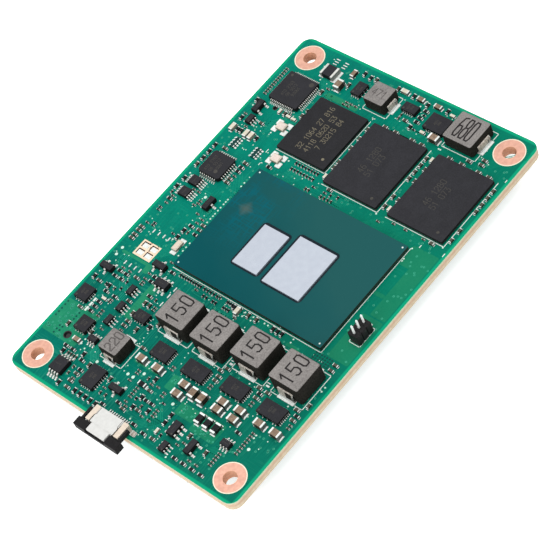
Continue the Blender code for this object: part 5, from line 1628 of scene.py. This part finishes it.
# Bare tinned test spots: the large ones, then the small ones, many of them in a row near Y = 15
TEST_SPOTS = (
    (-32.4, 5.9), (-32.4, 4.65), (-30.85, 3.35), (-32.65, -5.3), (-33.5, 12.6), (-14.7, 25.7),
    (-13.05, 25.7), (3.2, 19.45), (-32.3, -22.65),
)
SMALL_SPOTS = (
    (-32.2, 17.85), (-31.2, 17.85), (-34.4, 16.8), (-32.7, 16.6), (20.6, 18.4), (34.8, 18.2),
    (13.2, -21.2), (3.1, 25.8), (6.0, 25.9), (24.0, 25.9), (38.7, -2.8), (-12.9, -4.0),
    (-12.0, -4.0), (-12.8, -5.9), (-12.0, -5.9), (-12.0, -8.5), (-12.0, -9.3), (-12.6, -15.1),
    (-11.85, -15.1), (-22.6, -14.3), (-22.5, -23.0), (-17.3, -26.1), (-16.4, -26.1), (-41.0, -11.3),
    (-38.8, -0.7), (17.2, 11.0), (16.0, -25.8), (15.9, -10.9), (10.3, -21.3), (10.8, -21.3),
    (-30.2, -22.0), (-29.6, -22.0), (-6.9, 18.5), (32.6, -11.8), (32.6, -12.2), (-0.9, 15.3),
    (0.0, 15.3), (0.7, 15.3), (1.3, 15.3), (2.1, 15.3), (2.85, 15.3), (3.7, 15.3), (4.3, 15.3),
    (4.9, 15.3), (-9.1, 15.05), (-7.9, 15.05), (-7.0, 15.05), (-6.0, 15.05), (8.4, 15.1),
    (9.3, 15.1),
)

# Bare bars of solder: place, width, length
SOLDER_BARS = (
    (-18.5, 10.6, 1.0, 0.25), (-16.5, 10.6, 1.0, 0.25), (-14.9, 10.5, 1.0, 0.25),
    (-21.3, -8.9, 0.45, 0.75), (-20.7, -8.7, 0.2, 0.6), (-21.3, -17.4, 0.35, 0.8),
    (-20.75, -17.2, 0.2, 0.8), (-40.7, -3.2, 1.0, 1.0), (39.0, 18.1, 0.22, 0.95),
    (39.6, 18.1, 0.22, 0.95), (40.2, 18.1, 0.22, 0.95), (39.0, 16.0, 0.22, 0.95),
    (39.6, 16.0, 0.22, 0.95), (40.2, 16.0, 0.22, 0.95),
)


class BarePads(bpy.types.Operator):
    """Make the bare pads: the empty eight-pad footprint, test spots and single pads with solder"""

    bl_idname = "module.bare_pads"
    bl_label = "Bare Pads"

    def execute(self, context):
        """Lay the footprint, its pads, the test spots and the bars of solder."""
        low = FILM_BASE
        corners = [(x, y, 0) for x in (-12.0, -10.4) for y in (20.05, 22.05)]
        base = plate(3.5, 4.3, low, BOARD_TOP + 0.02, 0).moved((-11.25, 21.05, 0))
        # Painted shadow: dark plates in the four windows, showing at two edges of the offset white solder
        window_shadows = repeated(plate(1.2, 1.55, low, BOARD_TOP + 0.03, 3), corners)
        filled = repeated(plate(0.95, 1.3, low, BOARD_TOP + 0.04, 1).moved((-0.12, -0.12, 0)), corners)
        island = joined(base, window_shadows, filled)
        squares = repeated(disc(0.14, low, BOARD_TOP + 0.045, 8),
                           np.add(corners, (0.25, -0.35, 0)))
        pad = slab(0.9, 0.27, low, BOARD_TOP + 0.13, 0.12, 0.07, 3, paint=1)
        rows = repeated(pad, [(x, y, 0) for x in (-15.2, -7.3) for y in (22.9, 21.6, 20.35, 19.1)])
        spots = repeated(disc(0.3, low, BOARD_TOP + 0.035, 14, paint=2), [(x, y, 0) for x, y in TEST_SPOTS])
        small = repeated(disc(0.17, low, BOARD_TOP + 0.03, 10, paint=2), [(x, y, 0) for x, y in SMALL_SPOTS])
        bars = [slab(width, length, low, BOARD_TOP + 0.09, 0.06, 0.04, 1, paint=1).moved((x, y, 0))
                for x, y, width, length in SOLDER_BARS]
        add_piece("bare_pads", joined(island, squares, rows, spots, small, *bars),
                  ("gilded_pad", "solder", "tinned_spot", "window_painted_shadow"))
        return {"FINISHED"}


class UndersideChips(bpy.types.Operator):
    """Make the rows of chip capacitors on the underside, below the processor"""

    bl_idname = "module.underside_chips"
    bl_label = "Underside Chips"

    def execute(self, context):
        """Turn the chip upside down and repeat it on the underside's grid."""
        under = chip("small")
        under = facing_out(repeated(under, [(0, 0, 0)], [90], [(1, 1, -1)]))
        places = [(x, y, 0) for y in (-10.5, -8.5, -6.5) for x in np.arange(-6, 9, 2)]
        add_piece("underside_chips", repeated(under, places), ("ceramic_tan", "solder"))
        return {"FINISHED"}


def colour_property(name, description, red, green, blue):
    """A colour as it looks on a screen, in a picker."""
    return bpy.props.FloatVectorProperty(
        name=name, description=description, subtype="COLOR_GAMMA", size=3, min=0, max=1,
        default=(red / 255, green / 255, blue / 255))


def length_property(name, description, default):
    """A length in metres."""
    return bpy.props.FloatProperty(name=name, description=description, default=default, min=0,
                                   subtype="DISTANCE", unit="LENGTH", precision=5)


class ModuleColours(bpy.types.PropertyGroup):
    """The colours of the board"""

    mask: colour_property("Mask", "Lacquer over bare laminate", 0, 124, 103)
    mask_deep: colour_property("Deep Mask", "Lacquer where it is thickest", 0, 108, 93)
    pour: colour_property("Pour", "Lacquer over a copper area", 38, 134, 98)
    pour_deep: colour_property("Deep Pour", "Lacquer over copper where it is thickest", 24, 122, 90)
    trace: colour_property("Trace", "Lacquer over a fine trace", 30, 138, 112)


class ModuleSizes(bpy.types.PropertyGroup):
    """The sizes of the board's visible copper and print"""

    hole_inset: length_property("Hole Inset", "From a screw hole's middle to the board's edges", 0.004)
    hole_radius: length_property("Hole Radius", "Radius of a screw hole", 0.00135)
    ring_radius: length_property("Ring Radius", "Radius of the copper round a screw hole", 0.0028)
    silk_width: length_property("Print Width", "Width of a printed line", 0.00015)


def light(name, place, size, power):
    """A square area lamp at a place, turned towards the module."""
    lamp = bpy.data.lights.new(name, "AREA")
    lamp.size = size
    lamp.energy = power
    holder = placed(name, lamp)
    holder.location = place
    holder.rotation_euler = (-Vector(place)).to_track_quat("-Z", "Y").to_euler()


def white_for_camera(tree, background):
    """A shader that the camera and reflections see as plain white, and all else sees as it was."""
    path = tree.nodes.new("ShaderNodeLightPath")
    seen = path.outputs["Is Camera Ray"]
    for ray in ("Is Glossy Ray", "Is Transmission Ray"):
        both = tree.nodes.new("ShaderNodeMath")
        both.operation = "MAXIMUM"
        tree.links.new(seen, both.inputs[0])
        tree.links.new(path.outputs[ray], both.inputs[1])
        seen = both.outputs[0]
    white = tree.nodes.new("ShaderNodeBackground")
    white.inputs["Strength"].default_value = 1.0
    mix = tree.nodes.new("ShaderNodeMixShader")
    tree.links.new(seen, mix.inputs[0])
    tree.links.new(background.outputs[0], mix.inputs[1])
    tree.links.new(white.outputs[0], mix.inputs[2])
    return mix


class Stage(bpy.types.Operator):
    """Set the pale floor, the soft lamps, the white surroundings and the camera"""

    bl_idname = "module.stage"
    bl_label = "Stage"

    def execute(self, context):
        """Build the floor under the plug, the world, the lamps and the camera at the photo's angle."""
        scene = context.scene
        scene.view_settings.view_transform = "Standard"
        world = bpy.data.worlds.new("studio")
        scene.world = world
        world.use_nodes = True
        tree = world.node_tree
        background = tree.nodes["Background"]
        background.inputs["Color"].default_value = (1, 1, 1, 1)
        background.inputs["Strength"].default_value = 0.6
        mix = white_for_camera(tree, background)
        tree.links.new(mix.outputs[0], tree.nodes["World Output"].inputs["Surface"])
        floor_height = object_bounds()[0][2]
        half = 1.2
        mesh = bpy.data.meshes.new("floor")
        corners = [(x * half, y * half, floor_height) for x, y in ((-1, -1), (1, -1), (1, 1), (-1, 1))]
        mesh.from_pydata(corners, [], [(0, 1, 2, 3)])
        floor = placed("floor", mesh)
        material = bpy.data.materials.new("floor")
        material.use_nodes = True
        tree = material.node_tree
        surface = tree.nodes["Principled BSDF"]
        surface.inputs["Base Color"].default_value = (0.92, 0.92, 0.92, 1)
        surface.inputs["Roughness"].default_value = 0.9
        surface.inputs["Specular IOR Level"].default_value = 0.0
        surface.inputs["Emission Color"].default_value = (1, 1, 1, 1)
        path = tree.nodes.new("ShaderNodeLightPath")
        glow = tree.nodes.new("ShaderNodeMath")
        glow.operation = "MULTIPLY"
        glow.inputs[1].default_value = 0.62
        tree.links.new(path.outputs["Is Camera Ray"], glow.inputs[0])
        tree.links.new(glow.outputs[0], surface.inputs["Emission Strength"])
        mesh.materials.append(material)
        floor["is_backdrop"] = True
        light("key", (0.02, -0.02, 0.5), 0.4, 1.9)
        light("fill", (-0.42, -0.1, 0.2), 0.3, 0.9)
        camera_data = bpy.data.cameras.new("camera")
        camera_data.lens = VIEW_LENS
        camera_data.sensor_width = 36
        camera_data.clip_start = 0.01
        camera_data.clip_end = 10
        camera = placed("camera", camera_data)
        turn = (Matrix.Rotation(math.radians(VIEW_AZIMUTH), 4, "Z")
                @ Matrix.Rotation(math.radians(90 - VIEW_ELEVATION), 4, "X")
                @ Matrix.Rotation(math.radians(VIEW_ROLL), 4, "Z"))
        aim = Vector((*VIEW_AIM, BOARD_TOP)) * MM
        back = turn.to_3x3() @ Vector((0, 0, VIEW_DISTANCE * MM))
        camera.matrix_world = Matrix.Translation(aim + back) @ turn
        scene.camera = camera
        return {"FINISHED"}


PIECES = (
    Board, BoardCopper, Silkscreen, BarePads, SmallChips, UndersideChips, Processor, MemoryChips, Chokes,
    LeadlessPackages, LeadedPackages, QuadPackages, Crystals, Diode, Header, CableConnector, CableSlider,
    ModulePlug, Stage,
)


class ModulePanel(bpy.types.Panel):
    """The module's sizes and colours, and a button for each piece"""

    bl_idname = "VIEW3D_PT_module_looks"
    bl_label = "System on Module"
    bl_space_type = "VIEW_3D"
    bl_region_type = "UI"
    bl_category = "Module"

    def draw(self, context):
        """List the properties and the operators."""
        scene = context.scene
        for group in (scene.module_sizes, scene.module_colours):
            box = self.layout.box()
            for name in group.__annotations__:
                box.prop(group, name)
        for piece in PIECES:
            self.layout.operator(piece.bl_idname)


CLASSES = (ModuleColours, ModuleSizes) + PIECES + (ModulePanel,)


def register():
    """Register the classes and hang the properties on the scene."""
    for each in CLASSES:
        bpy.utils.register_class(each)
    bpy.types.Scene.module_colours = bpy.props.PointerProperty(type=ModuleColours)
    bpy.types.Scene.module_sizes = bpy.props.PointerProperty(type=ModuleSizes)


def unregister():
    """Take the properties and the classes away again."""
    del bpy.types.Scene.module_sizes
    del bpy.types.Scene.module_colours
    for each in reversed(CLASSES):
        bpy.utils.unregister_class(each)


def main():
    """Build the module's looks and its stage."""
    register()
    make_finishes()
    for piece in PIECES:
        category, name = piece.bl_idname.split(".")
        getattr(getattr(bpy.ops, category), name)()


if __name__ == "__main__":
    main()
